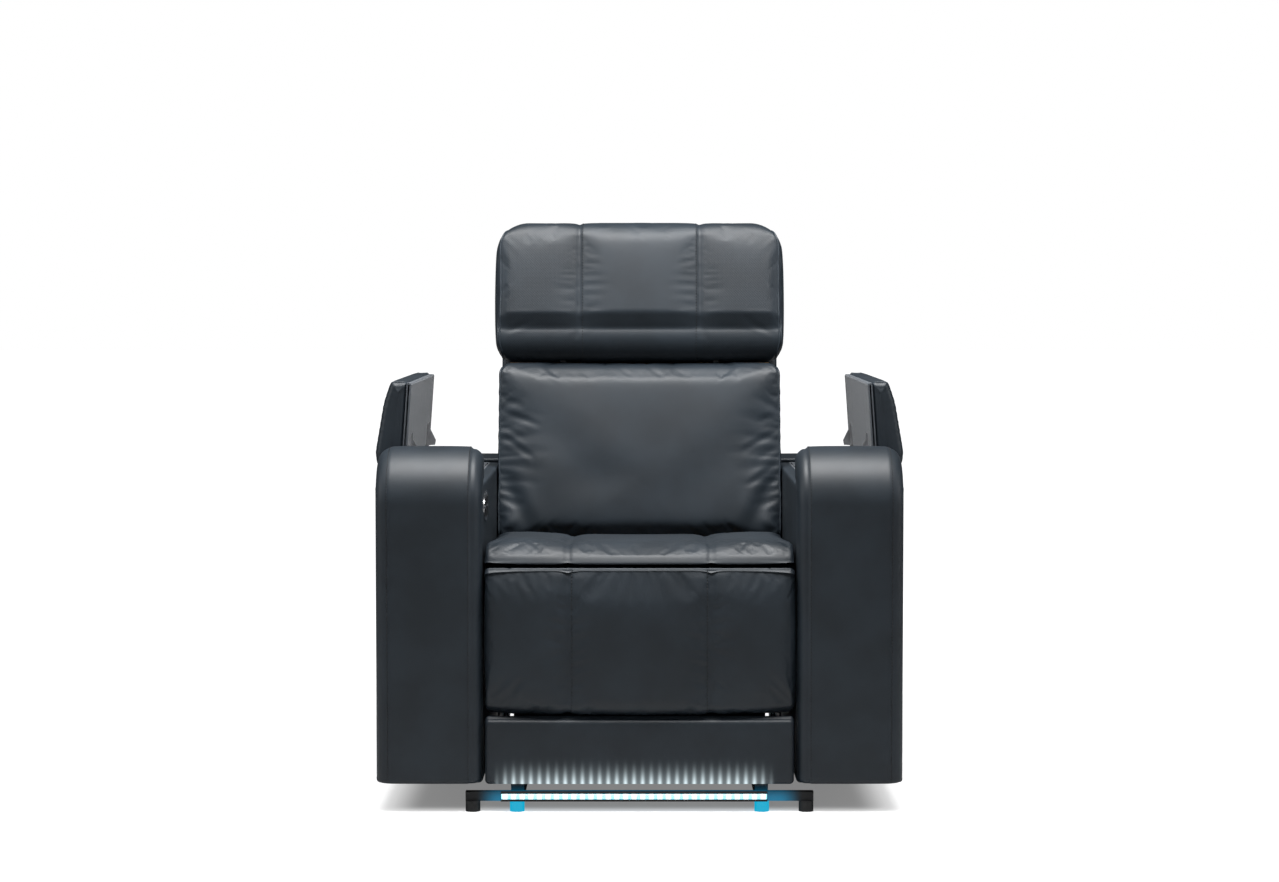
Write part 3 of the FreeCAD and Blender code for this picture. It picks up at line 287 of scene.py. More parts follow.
def creases(a, b, lines):
    """Folds along straight lines (a0, b0, a1, b1, width, depth) on a face with coordinates a and b.

    A fold sinks by depth along its line and stands half as much at its lips, fading to both ends.
    """
    total = np.zeros(np.broadcast(a, b).shape)
    for a0, b0, a1, b1, width, depth in lines:
        run = np.array([a1 - a0, b1 - b0])
        length = np.linalg.norm(run)
        share = ((a - a0) * run[0] + (b - b0) * run[1]) / length ** 2
        off = ((a - a0) * run[1] - (b - b0) * run[0]) / length
        fade = np.clip(1 - np.abs(2 * share - 1) ** 3, 0, 1) * (np.abs(2 * share - 1) < 1)
        total += depth * fade * (0.5 * ridge(np.abs(off) - 1.7 * width, width) - ridge(off, width))
    return total


def ripples(distance, along, pitch, reach, height, seed):
    """Small puckers beside a seam: a sum of three waves along it that fades away from it."""
    random = np.random.default_rng(seed)
    wave = 0
    for k in (1.0, 1.7, 2.6):
        wave = wave + np.sin(2 * math.pi * (k * along / pitch + random.random())) / k
    return height * wave * np.exp(-np.abs(distance) / reach)


def frames_along(path, normals):
    """Unit tangent, normal and side vectors along a path, one of each for each point."""
    tangent = np.gradient(path, axis=0)
    tangent /= np.linalg.norm(tangent, axis=1)[:, None]
    normal = normals - tangent * np.sum(normals * tangent, 1)[:, None]
    normal /= np.maximum(np.linalg.norm(normal, axis=1), 1e-9)[:, None]
    return tangent, normal, np.cross(tangent, normal)


def evenly(path, normals, pitch):
    """The path read off at equal steps of its length, with its normals."""
    length = np.r_[0, np.cumsum(np.linalg.norm(np.diff(path, axis=0), axis=1))]
    at = np.linspace(0, length[-1], max(int(round(length[-1] / pitch)), 2) + 1)
    pick = [np.stack([np.interp(at, length, values[:, k]) for k in range(3)], 1) for values in (path, normals)]
    return pick[0], pick[1]


def add_mesh(name, places, faces, finish):
    """A smooth object from vertices and faces."""
    mesh = bpy.data.meshes.new(name)
    mesh.from_pydata(places.tolist(), [], faces.tolist() if hasattr(faces, "tolist") else faces)
    if volume(mesh, places) < 0:
        mesh.flip_normals()
    mesh.polygons.foreach_set("use_smooth", [True] * len(mesh.polygons))
    mesh.materials.append(finish)
    made = bpy.data.objects.new(name, mesh)
    bpy.context.scene.collection.objects.link(made)
    return made


def stitched(name, runs, finish, pitch=6 * MM, thread=0.85 * MM, sink=0.0):
    """Sewing thread: one grain-shaped stitch per pitch along each run of (path, normals).

    A stitch is a closed grid of 5 rings of 6 points: its radius is thread * sqrt(1 - s^2) along its
    length s from -1 to 1, and it is 0.7 of the pitch long.
    """
    along = np.array([-1, -0.75, 0, 0.75, 1])
    swell = np.array([0.15, 0.8, 1, 0.8, 0.15]) * thread
    turn = np.arange(6) / 6 * 2 * math.pi
    places, faces, base = [], [], 0
    for path, normals in runs:
        centre, up = evenly(path, normals, pitch)
        tangent, normal, side = frames_along(centre, up)
        middle = ((centre[1:] + centre[:-1]) / 2)[:, None, None]
        t, n, s = (v[:-1][:, None, None] for v in (tangent, normal, side))
        ring = (middle + t * along[None, :, None, None] * 0.35 * pitch
                + (n * np.cos(turn)[None, None, :, None] + s * np.sin(turn)[None, None, :, None])
                * swell[None, :, None, None] + n * (0.3 * thread - sink))
        count = len(middle)
        places.append(ring.reshape(-1, 3))
        index = base + np.arange(count * 30).reshape(count, 5, 6)
        after = np.roll(index, -1, 2)
        quads = np.stack([index[:, :-1], index[:, 1:], after[:, 1:], after[:, :-1]], -1).reshape(-1, 4)
        faces += quads.tolist() + index[:, 0].tolist() + index[:, -1, ::-1].tolist()
        base += count * 30
    return add_mesh(name, np.vstack(places), faces, finish)


def welted(name, runs, finish, radius=2.2 * MM, closed=False, sides=10):
    """Piping: round tubes along the runs of (path, normals), each end closed to a point or to its start."""
    turn = np.arange(sides) / sides * 2 * math.pi
    places, faces, base = [], [], 0
    for path, normals in runs:
        centre, up = evenly(path, normals, 4 * MM)
        if closed:
            centre, up = centre[:-1], up[:-1]
            tangent = np.roll(centre, -1, 0) - np.roll(centre, 1, 0)
            tangent /= np.linalg.norm(tangent, axis=1)[:, None]
            normal = up - tangent * np.sum(up * tangent, 1)[:, None]
            normal /= np.linalg.norm(normal, axis=1)[:, None]
            side = np.cross(tangent, normal)
        else:
            tangent, normal, side = frames_along(centre, up)
        ring = centre[:, None] + (normal[:, None] * np.cos(turn)[None, :, None]
                                  + side[:, None] * np.sin(turn)[None, :, None]) * radius
        places.append(ring.reshape(-1, 3))
        index = base + np.arange(len(centre) * sides).reshape(-1, sides)
        rows = np.vstack([index, index[:1]]) if closed else index
        after = np.roll(rows, -1, 1)
        faces += np.stack([rows[:-1], rows[1:], after[1:], after[:-1]], -1).reshape(-1, 4).tolist()
        if not closed:
            faces += [index[0].tolist(), index[-1, ::-1].tolist()]
        base += len(centre) * sides
    return add_mesh(name, np.vstack(places), faces, finish)


# Cloth

def inflated(skin, pinned, finish, pressure=3.0, slack=0.01, cap=9 * MM, frames=14):
    """Blow a skin up as cloth: pinned is 0 to 1 for each grid point, and no point moves beyond the cap."""
    made = skin.build(finish)
    weights = np.r_[pinned.ravel(), 1, 1]
    group = made.vertex_groups.new(name="held")
    for level in np.unique(np.round(weights, 1)):
        chosen = np.nonzero(np.round(weights, 1) == level)[0].tolist()
        group.add(chosen, float(level), "REPLACE")
    cloth = made.modifiers.new("cloth", "CLOTH")
    settings = cloth.settings
    settings.quality = 5
    settings.mass = 0.3
    settings.tension_stiffness = settings.compression_stiffness = 15
    settings.shear_stiffness = 5
    settings.bending_stiffness = 0.6
    settings.use_pressure = True
    settings.uniform_pressure_force = pressure
    settings.shrink_min = -slack
    settings.vertex_group_mass = "held"
    settings.effector_weights.gravity = 0
    cloth.point_cache.frame_start, cloth.point_cache.frame_end = 1, frames
    scene = bpy.context.scene
    for step in range(1, frames + 1):
        scene.frame_set(step)
    done = made.evaluated_get(bpy.context.evaluated_depsgraph_get())
    after = np.zeros(len(done.data.vertices) * 3, np.float32)
    done.data.vertices.foreach_get("co", after)
    move = after.reshape(-1, 3)[:-2].reshape(skin.grid.shape) - skin.grid
    size = np.linalg.norm(move, axis=2, keepdims=True)
    skin.grid = skin.grid + move * cap * np.tanh(size / cap) / np.maximum(size, 1e-9)
    bpy.data.objects.remove(made)
    scene.frame_set(1)


# Shader arithmetic

class Value:
    """A socket of a material's nodes; arithmetic on it adds Math nodes."""

    def __init__(self, finish, socket):
        self.finish, self.socket = finish, socket

    def math(self, operation, *others):
        return self.finish.node("ShaderNodeMath", {"operation": operation}, (self, *others))

    def __add__(self, other):
        return self.math("ADD", other)

    def __sub__(self, other):
        return self.math("SUBTRACT", other)

    def __rsub__(self, other):
        return self.finish.node("ShaderNodeMath", {"operation": "SUBTRACT"}, (other, self))

    def __mul__(self, other):
        return self.math("MULTIPLY", other)

    def __truediv__(self, other):
        return self.math("DIVIDE", other)

    def __lt__(self, other):
        return self.math("LESS_THAN", other)

    def __gt__(self, other):
        return self.math("GREATER_THAN", other)

    __radd__, __rmul__ = __add__, __mul__

    def between(self, low, high):
        """0 below low, 1 above high, smooth between."""
        settings = {"interpolation_type": "SMOOTHSTEP"}
        return self.finish.node("ShaderNodeMapRange", settings, {"Value": self, "From Min": low, "From Max": high})


class Finish:
    """A material under construction: a Principled shader and what feeds it."""

    def __init__(self, name, **constants):
        self.material = bpy.data.materials.new(name)
        self.material.use_nodes = True
        self.tree = self.material.node_tree
        self.shader = self.tree.nodes["Principled BSDF"]
        for socket, value in constants.items():
            self.shader.inputs[socket.replace("_", " ")].default_value = value

    def node(self, kind, settings, inputs, output=0):
        """A new node: its settings first, then its inputs by order or by name."""
        made = self.tree.nodes.new(kind)
        for key, value in settings.items():
            setattr(made, key, value)
        named = inputs.items() if isinstance(inputs, dict) else enumerate(inputs)
        for key, value in named:
            self.join(made.inputs[key], value)
        return Value(self, made.outputs[output])

    def join(self, socket, value):
        """Link or set one input."""
        if isinstance(value, Value):
            self.tree.links.new(value.socket, socket)
        else:
            socket.default_value = value

    def feed(self, name, value):
        """Feed an input of the shader."""
        self.join(self.shader.inputs[name], value)

    def place(self, scale=(1, 1, 1)):
        """Object coordinates, stretched by a scale."""
        at = self.node("ShaderNodeTexCoord", {}, (), "Object")
        if tuple(scale) == (1, 1, 1):
            return at
        return self.node("ShaderNodeMapping", {}, {"Vector": at, "Scale": scale})

    def parts_of(self, vector):
        """The three numbers of a vector."""
        made = self.tree.nodes.new("ShaderNodeSeparateXYZ")
        self.join(made.inputs[0], vector)
        return [Value(self, out) for out in made.outputs]

    def noise(self, at, scale, detail=2.0, rough=0.5):
        """Noise from 0 to 1."""
        return self.node("ShaderNodeTexNoise", {},
                         {"Vector": at, "Scale": scale, "Detail": detail, "Roughness": rough}, "Fac")

    def mix(self, share, first, second):
        """A colour between two."""
        made = self.tree.nodes.new("ShaderNodeMix")
        made.data_type = "RGBA"
        self.join(made.inputs["Factor"], share)
        for key, value in ((6, first), (7, second)):
            self.join(made.inputs[key], value)
        return Value(self, made.outputs[2])

    def bump(self, height, strength, distance, under=None):
        """A Bump node on a height, over another one where given."""
        inputs = {"Height": height, "Strength": strength, "Distance": distance}
        if under is not None:
            inputs["Normal"] = under
        return self.node("ShaderNodeBump", {}, inputs)


def colour(red, green, blue):
    """An 0-255 screen colour as the shader's linear one: the usual power-curve decoding."""
    def linear(c):
        c = c / 255
        return c / 12.92 if c <= 0.04045 else ((c + 0.055) / 1.055) ** 2.4
    return (linear(red), linear(green), linear(blue), 1.0)


LEATHER_DARK, LEATHER_MID, LEATHER_LIGHT = colour(24, 32, 39), colour(31, 40, 48), colour(46, 56, 65)


def leather(name, perforated=None, glow=None):
    """Semi-matt slate leather: pebbled grain, soft cloudy colour, and a lighter colour on sharp convex edges.

    perforated is (inner, outer): the band of |x| that is punched with fine diagonal rows of holes.
    glow is a function of the finish that gives the light falling on it, as an emission strength.
    """
    made = Finish(name, Specular_IOR_Level=0.5, Coat_Roughness=0.35)
    at = made.place()
    grain = made.node("ShaderNodeTexVoronoi", {"feature": "SMOOTH_F1"},
                      {"Vector": at, "Scale": 620.0, "Smoothness": 0.35, "Randomness": 1.0}, "Distance")
    pores = made.noise(at, 1400.0, 3.0, 0.6)
    cloud = made.noise(at, 9.0, 3.0, 0.55)
    patch = made.noise(at, 60.0, 2.0, 0.5)
    # Sharp convex edges, found by pointiness, are mixed a little towards the lighter leather colour.
    edge = made.node("ShaderNodeNewGeometry", {}, (), "Pointiness").between(0.515, 0.56)
    base = made.mix(cloud.between(0.3, 0.7), LEATHER_DARK, LEATHER_MID)
    base = made.mix(edge * 0.35, base, LEATHER_LIGHT)
    rough = 0.40 + cloud * 0.08 + patch * 0.06 + grain * 0.06
    height = grain * 0.7 + pores * 0.3
    if perforated:
        x, _, z = made.parts_of(at)
        reach = x.math("ABSOLUTE")
        pitch = 5.2 * MM
        first = ((x + z) / pitch).math("FRACT") - 0.5
        second = ((x - z) / pitch).math("FRACT") - 0.5
        spot = (first * first + second * second).math("SQRT")
        punched = (1 - spot.between(0.16, 0.26)) * reach.between(*perforated[0]) * (1 - reach.between(*perforated[1]))
        base = made.mix(punched * 0.9, base, colour(6, 8, 11))
        height = height - punched * 3.0
    made.feed("Base Color", base)
    made.feed("Roughness", rough)
    made.feed("Normal", made.bump(height, 0.25, 0.25 * MM))
    if glow:
        made.feed("Emission Color", glow(made, at))
        made.shader.inputs["Emission Strength"].default_value = 1.0
    return made.material


STRIP_LOW, STRIP_HIGH = (np.array(c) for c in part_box("light_channel"))
CHIP_PITCH = (STRIP_HIGH[0] - STRIP_LOW[0]) / 31
CYAN, COLD_WHITE = (0.05, 0.55, 0.85, 1.0), (0.82, 0.97, 1.0, 1.0)


def strip_light(made, at):
    """The strip's light on the apron above it: a scalloped streak over each chip that fades upwards."""
    x, _, z = made.parts_of(at)
    height = z - STRIP_HIGH[2]
    phase = (x - STRIP_LOW[0]) * (2 * math.pi / CHIP_PITCH)
    streak = 0.5 - phase.math("COSINE") * 0.5
    rise = height.between(0.0, 0.045)
    inside = (x - (STRIP_LOW[0] - 0.02)).between(0.0, 0.05) * (1 - (x - (STRIP_HIGH[0] - 0.03)).between(0.0, 0.05))
    fade = (1 - height.between(0.004, 0.075)).math("POWER", 2.4)
    core = streak.math("POWER", 2.0)
    strength = fade * inside * (core * (1 - rise * 0.5) * 1.1 + 0.22)
    return made.mix(strength, (0, 0, 0, 1), (0.80, 0.95, 1.0, 1.0))


def painted_steel():
    """Black powder coat with a fine orange-peel and a little glow of the strip near the floor."""
    made = Finish("black powder coat", Specular_IOR_Level=0.4)
    at = made.place()
    peel, dust = made.noise(at, 900.0, 2.0), made.noise(at, 25.0, 4.0, 0.6)
    made.feed("Base Color", made.mix(dust.between(0.4, 0.8), colour(18, 19, 21), colour(34, 35, 37)))
    made.feed("Roughness", 0.42 + dust * 0.2)
    made.feed("Normal", made.bump(peel, 0.15, 0.2 * MM))
    x, y, z = made.parts_of(at)
    # Painted light: the strip's cyan light falling on the steel near the floor, painted as emission.
    near = (1 - x.math("ABSOLUTE").between(0.255, 0.30)) * (1 - y.between(-0.435, -0.405)) * (1 - z.between(0.02, 0.05))
    made.feed("Emission Color", made.mix(near * 0.8, (0, 0, 0, 1), (0.01, 0.20, 0.36, 1)))
    made.shader.inputs["Emission Strength"].default_value = 1.0
    return made.material


def glide_plastic():
    """Black moulded plastic; the two inboard glides behind the strip are lit cyan by it."""
    made = Finish("glide plastic", Specular_IOR_Level=0.5)
    at = made.place()
    x, y, z = made.parts_of(at)
    speck = made.noise(at, 700.0, 2.0)
    made.feed("Base Color", made.mix(speck, colour(14, 14, 15), colour(26, 27, 29)))
    made.feed("Roughness", 0.45 + speck * 0.15)
    made.feed("Normal", made.bump(speck, 0.2, 0.2 * MM))
    near = (1 - x.math("ABSOLUTE").between(0.24, 0.27)) * (1 - y.between(-0.43, -0.40))
    made.feed("Emission Color", made.mix(near, (0, 0, 0, 1), (0.0, 0.40, 0.62, 1)))
    made.shader.inputs["Emission Strength"].default_value = 1.0
    return made.material


def brushed(name, tone, rough, scale=(900, 30, 900)):
    """Bright metal with a fine directional brush."""
    made = Finish(name, Metallic=1.0)
    at = made.place(scale)
    lines = made.noise(at, 1.0, 3.0, 0.6)
    blotch = made.noise(made.place(), 40.0, 3.0)
    dark = tuple(0.72 * c for c in tone[:3]) + (1,)
    made.feed("Base Color", made.mix(blotch.between(0.3, 0.75), dark, tone))
    made.feed("Roughness", rough + lines * 0.12 + blotch * 0.08)
    made.feed("Normal", made.bump(lines, 0.12, 0.1 * MM))
    return made.material


def plastic(name, tone, rough=0.45, grain=800.0, strength=0.25):
    """Moulded plastic with a fine spark-eroded grain and faint handling marks."""
    made = Finish(name, Specular_IOR_Level=0.5)
    at = made.place()
    speck, smear = made.noise(at, grain, 2.0), made.noise(at, 30.0, 4.0, 0.6)
    light = tuple(min(1.0, 1.6 * c) for c in tone[:3]) + (1,)
    made.feed("Base Color", made.mix(smear.between(0.45, 0.8), tone, light))
    made.feed("Roughness", rough + smear * 0.12)
    made.feed("Normal", made.bump(speck, strength, 0.15 * MM))
    return made.material


def plywood():
    """Bare birch ply: long grain streaks and darker layers on the edges."""
    made = Finish("birch ply", Specular_IOR_Level=0.3)
    streak = made.noise(made.place((6, 90, 260)), 1.0, 5.0, 0.6)
    fine = made.noise(made.place((30, 900, 900)), 1.0, 3.0)
    made.feed("Base Color", made.mix(streak.between(0.3, 0.75), colour(196, 160, 114), colour(150, 112, 70)))
    made.feed("Roughness", 0.6 + fine * 0.2)
    made.feed("Normal", made.bump(fine + streak, 0.3, 0.3 * MM))
    return made.material


def woven(name, first, second, pitch=2.4 * MM, sheen=0.2):
    """Plain-woven cloth: two crossed waves of threads in X-Y and Z, raised where a thread passes over."""
    made = Finish(name, Specular_IOR_Level=0.2, Sheen_Weight=sheen)
    x, y, z = made.parts_of(made.place())
    turn = 2 * math.pi / pitch
    warp = ((x + z) * turn).math("SINE") * (y * turn).math("SINE")
    tone = made.noise(made.place(), 35.0, 4.0, 0.6)
    made.feed("Base Color", made.mix(warp.between(-1.0, 1.0) * 0.5 + tone * 0.5, first, second))
    made.feed("Roughness", 0.75 + tone * 0.15)
    made.feed("Normal", made.bump(warp, 0.4, 0.3 * MM))
    return made.material


def glowing(name, body, tone, strength):
    """A light source's face: white at each chip and cyan between."""
    made = Finish(name, Roughness=0.35)
    x, _, _ = made.parts_of(made.place())
    phase = (x - STRIP_LOW[0]) * (2 * math.pi / CHIP_PITCH)
    core = (0.5 - phase.math("COSINE") * 0.5).between(0.15, 0.7)
    made.shader.inputs["Base Color"].default_value = body
    made.feed("Emission Color", made.mix(core, tone, COLD_WHITE))
    made.shader.inputs["Emission Strength"].default_value = strength
    return made.material


LEATHER = leather("slate leather")
PUNCHED = leather("punched slate leather", perforated=((0.128, 0.131), (0.268, 0.272)))
APRON_LEATHER = leather("slate leather lit by the strip", glow=strip_light)
THREAD = plastic("dark thread", colour(16, 19, 23), 0.6, 2500.0, 0.5)
WELT = leather("welt leather")
STEEL, GLIDE = painted_steel(), glide_plastic()
BRIGHT = brushed("bright zinc", (0.78, 0.78, 0.80, 1), 0.22)
ZINC = brushed("zinc pins", (0.60, 0.60, 0.62, 1), 0.32)
CHROME = brushed("polished chrome", (0.86, 0.86, 0.87, 1), 0.06)
BLACK = plastic("moulded black plastic", colour(20, 20, 22))
BUTTON = plastic("button black", colour(15, 16, 18), 0.3, 1500.0, 0.1)
PLY = plywood()
LINING = woven("grey lining cloth", colour(92, 97, 103), colour(70, 75, 81), 1.6 * MM)
WEBBING = woven("black webbing", colour(20, 20, 21), colour(38, 38, 40), 3.2 * MM)
LENS = glowing("light strip lens", (0.6, 0.75, 0.8, 1), (0.12, 0.62, 0.85, 1), 1.35)
CHIP = glowing("light chips", (0.8, 0.8, 0.7, 1), COLD_WHITE, 1.5)

SLOT_FINISH = {"leather": LEATHER, "lining": LINING, "bright_steel": BRIGHT, "black_steel": STEEL, "zinc_steel": ZINC,
               "board": PLY, "webbing": WEBBING, "black_plastic": BLACK, "chrome_plate": CHROME,
               "button_black": BUTTON, "light_chip": CHIP}


def finish_nodes():
    """Give every CAD node the finish of its slot; the glides and the light channel have their own."""
    for row in frame["record"]["subparts"]:
        node = NODES[row["node"]]
        finish = SLOT_FINISH[row["material_slot"]]
        if row["node"] == "glide_feet":
            finish = GLIDE
        for slot in node.material_slots:
            slot.material = finish
        if not node.material_slots:
            node.data.materials.append(finish)


def belongs(made, body, slot, *nodes, fill=None):
    """Fix a finished piece to its body, in place of the given nodes, which are hidden."""
    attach(made, body)
    if nodes:
        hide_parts(*nodes)
    return made


# Headrest

def headrest():
    """The headrest's pad: a full roll at the bottom, round upper corners and two stitched seams."""
    low, high = back_span("headrest_pad")
    half, seam, edge = high[0], 0.124, 13 * MM
    front, rear, foot, top = low[1], high[1], low[2], high[2]
    outline = rounded([(front, foot, 48 * MM), (rear, foot, 46 * MM), (rear, top, 16 * MM), (front, top, 36 * MM)])
    middle = (foot + top) / 2

    def pull(x, points):
        u, w = points[..., 1], points[..., 0]
        face = np.clip(-(w - (front + rear) / 2) / ((rear - front) / 2), 0, 1)
        crown = 5 * MM * (1 - (x / half) ** 4) * (1 - np.abs((u - middle) / (top - middle)) ** 3)
        dip = ridge(np.abs(x) - seam, 4 * MM) * 3.4 * MM + ridge(np.abs(x) - seam, 16 * MM) * 2.0 * MM
        return face * crown - dip * (0.35 + 0.65 * face)

    spine = [((front + rear) / 2, foot + 50 * MM), ((front + rear) / 2, top - 50 * MM)]
    skin = across_x(outline, spine, half, edge, pull, bulge=3 * MM, name="headrest_cushion")
    round_corners(skin.grid, half, top, 64 * MM)
    round_corners(skin.grid, half, foot, 34 * MM, -1)
    return skin, seam


def soft_weights(skin, held_rear, seams=(), width=8 * MM, side=None):
    """1 where the skin is held: its rear side and its sewn lines; 0 where it is free to swell."""
    x = skin.grid[..., 0]
    held = held_rear.astype(float)
    for seam in seams:
        held = np.maximum(held, ridge(np.abs(x) - seam, width))
    if side is not None:
        held = np.maximum(held, (np.abs(x) > side).astype(float))
    return np.clip(held, 0, 1)


def line_at(skin, x):
    """The skin's own line across its rings at X: positions and normals, blended from two rings."""
    normals = skin.normals()
    xs = skin.grid[..., 0].mean(1)
    inner = np.arange(9, len(xs) - 9)
    k = inner[np.searchsorted(xs[inner], x) - 1]
    share = (x - xs[k]) / (xs[k + 1] - xs[k])
    return (skin.grid[k] * (1 - share) + skin.grid[k + 1] * share, normals[k] * (1 - share) + normals[k + 1] * share)


def run_where(path, normals, keep):
    """The longest unbroken stretch of a closed line where keep is true."""
    start = int(np.argmax(keep & ~np.roll(keep, 1)))
    order = (np.arange(len(keep)) + start) % len(keep)
    ordered = keep[order]
    stop = int(np.argmin(ordered)) if not ordered.all() else len(ordered)
    return path[order[:stop]], normals[order[:stop]]


HEAD_AXIS = turned(np.array(JOINTS["headrest_tilt"]["pos_m"]), "x", BACK_LEAN, BACK_PIVOT) - BACK_PIVOT


def about_hinge(grid):
    """Keep the headrest's lower front inside a roll of 50 mm about its hinge, so that it can tilt.

    The angle is 0 straight forward and negative below; the hold fades out between 0.2 and 0.55 rad.
    """
    off = grid - HEAD_AXIS
    reach = np.maximum(np.hypot(off[..., 1], off[..., 2]), 1e-9)
    hold = np.clip((0.55 - np.arctan2(off[..., 2], -off[..., 1])) / 0.35, 0, 1)
    hold *= off[..., 1] < 20 * MM
    scale = 1 + hold * (np.minimum(reach, 50 * MM) / reach - 1)
    grid[..., 1:] = HEAD_AXIS[1:] + off[..., 1:] * scale[..., None]
    return grid


def make_headrest():
    skin, seam = headrest()
    upright = skin.grid.copy()
    low, high = back_span("headrest_pad")
    w, u = upright[..., 1], upright[..., 2]
    rear = w > high[1] - 22 * MM
    inflated(skin, soft_weights(skin, rear, (seam,)), LEATHER, pressure=1.2, slack=0.001, cap=4 * MM)
    skin.grid = about_hinge(skin.grid)
    x = upright[..., 0]
    face = np.clip((high[1] - 30 * MM - w) / (40 * MM), 0, 1)
    off = np.abs(x) - seam
    skin.grid = skin.grid + skin.normals() * (face * (
        ripples(off, u, 34 * MM, 10 * MM, 0.16 * MM, 11)
        + creases(x, u, [(-0.275, 0.47, -0.22, 0.50, 6 * MM, 0.7 * MM), (0.275, 0.465, 0.21, 0.505, 6 * MM, 0.7 * MM),
                         (-0.14, 0.445, -0.10, 0.52, 7 * MM, 0.6 * MM), (0.14, 0.445, 0.115, 0.51, 7 * MM, 0.6 * MM)])
    ))[..., None]
    flat = Skin(skin.name, skin.grid)
    runs, threads = [], []
    for place in (-seam, seam):
        for shift, bag in ((0, runs), (-np.sign(place) * 8 * MM, threads)):
            path, normals = line_at(flat, place + shift)
            chosen = path[:, 1] < high[1] - 28 * MM
            bag.append(run_where(path, normals, chosen))
    skin.grid = leaned(skin.grid)
    pad = skin.build(PUNCHED, levels=1)
    belongs(pad, "headrest", "leather", "headrest_pad", fill=0.75)
    lean_run = [(leaned(p), turned(n, "x", -BACK_LEAN, 0)) for p, n in threads]
    belongs(stitched("headrest_stitches", lean_run, THREAD), "headrest", "leather")
    edge_runs = []
    rings = len(flat.grid)
    normals = flat.normals()
    for k in (7, rings - 8):
        edge_runs.append((flat.grid[k], normals[k]))
    lean_edges = [(leaned(p), turned(n, "x", -BACK_LEAN, 0)) for p, n in edge_runs]
    belongs(welted("headrest_piping", lean_edges, WELT, 2.0 * MM, closed=True), "headrest", "leather")


# Back cushion

def make_back_cushion():
    low, high = back_span("back_cushion")
    half, edge = high[0], 12 * MM
    front, rear, foot, top = low[1] + 10 * MM, high[1], low[2], high[2]
    outline = rounded([(front, foot, 30 * MM), (rear, foot, 10 * MM), (rear, top, 10 * MM), (front, top, 26 * MM)])

    def pull(x, points):
        w, u = points[..., 0], points[..., 1]
        face = np.clip((rear - 40 * MM - w) / (30 * MM), 0, 1)
        share = np.clip((u - foot) / (top - foot), 0, 1)
        crown = 9 * MM * (1 - (x / half) ** 4) * np.sin(math.pi * share) ** 0.7
        waist = -4 * MM * (np.abs(x) / half) ** 8 * ridge(share - 0.55, 0.3)
        return face * crown + waist

    spine = [((front + rear) / 2, foot + 45 * MM), ((front + rear) / 2, top - 45 * MM)]
    skin = across_x(outline, spine, half, edge, pull, bulge=2 * MM, name="lumbar_cushion")
    round_corners(skin.grid, half, top, 26 * MM)
    round_corners(skin.grid, half, foot, 30 * MM, -1)
    upright = skin.grid.copy()
    x, w, u = (upright[..., k] for k in range(3))
    inflated(skin, soft_weights(skin, w > rear - 24 * MM, side=half - 3 * MM), LEATHER, pressure=2.5, slack=0.006,
             cap=8 * MM)
    face = np.clip((rear - 40 * MM - w) / (30 * MM), 0, 1)
    folds = []
    for side, gathers in ((-1, ((0.335, 0.318, 0.05, 1.0), (0.309, 0.276, 0.085, 1.5), (0.280, 0.252, 0.05, 0.9),
                                (0.262, 0.205, 0.075, 1.2))),
                          (1, ((0.305, 0.285, 0.045, 0.8), (0.270, 0.222, 0.08, 1.3), (0.238, 0.205, 0.05, 0.9),
                               (0.205, 0.150, 0.07, 1.3), (0.176, 0.140, 0.04, 0.8)))):
        for b0, b1, reach, deep in gathers:
            folds.append((side * 0.284, b0, side * (0.284 - reach), b1, 6 * MM, deep * MM))
        folds.append((side * 0.285, 0.19, side * 0.215, 0.055, 17 * MM, 4.0 * MM))
    folds += [(-0.25, 0.33, -0.05, 0.13, 42 * MM, 2.6 * MM), (0.27, 0.30, 0.06, 0.10, 46 * MM, 2.2 * MM),
              (-0.20, 0.14, 0.0, 0.19, 34 * MM, 1.4 * MM)]
    for a, deep in ((-0.05, 0.7), (0.012, 0.9), (0.06, 0.6)):
        folds.append((a, 0.413, a + 0.04, 0.378, 5 * MM, deep * MM))
    edge_wave = ripples(np.abs(x) - half, u, 31 * MM, 12 * MM, 0.35 * MM, 5)
    skin.grid = skin.grid + skin.normals() * (face * (0.7 * creases(x, u, folds) + edge_wave))[..., None]
    flat = Skin(skin.name, skin.grid)
    normals = flat.normals()
    skin.grid = leaned(skin.grid)
    belongs(skin.build(LEATHER, levels=1), "back", "leather", "back_cushion", fill=0.6)
    runs = [(leaned(flat.grid[k]), turned(normals[k], "x", -BACK_LEAN, 0)) for k in (6, len(flat.grid) - 7)]
    belongs(welted("lumbar_piping", runs, WELT, 1.9 * MM, closed=True), "back", "leather")


# Seat and footrest

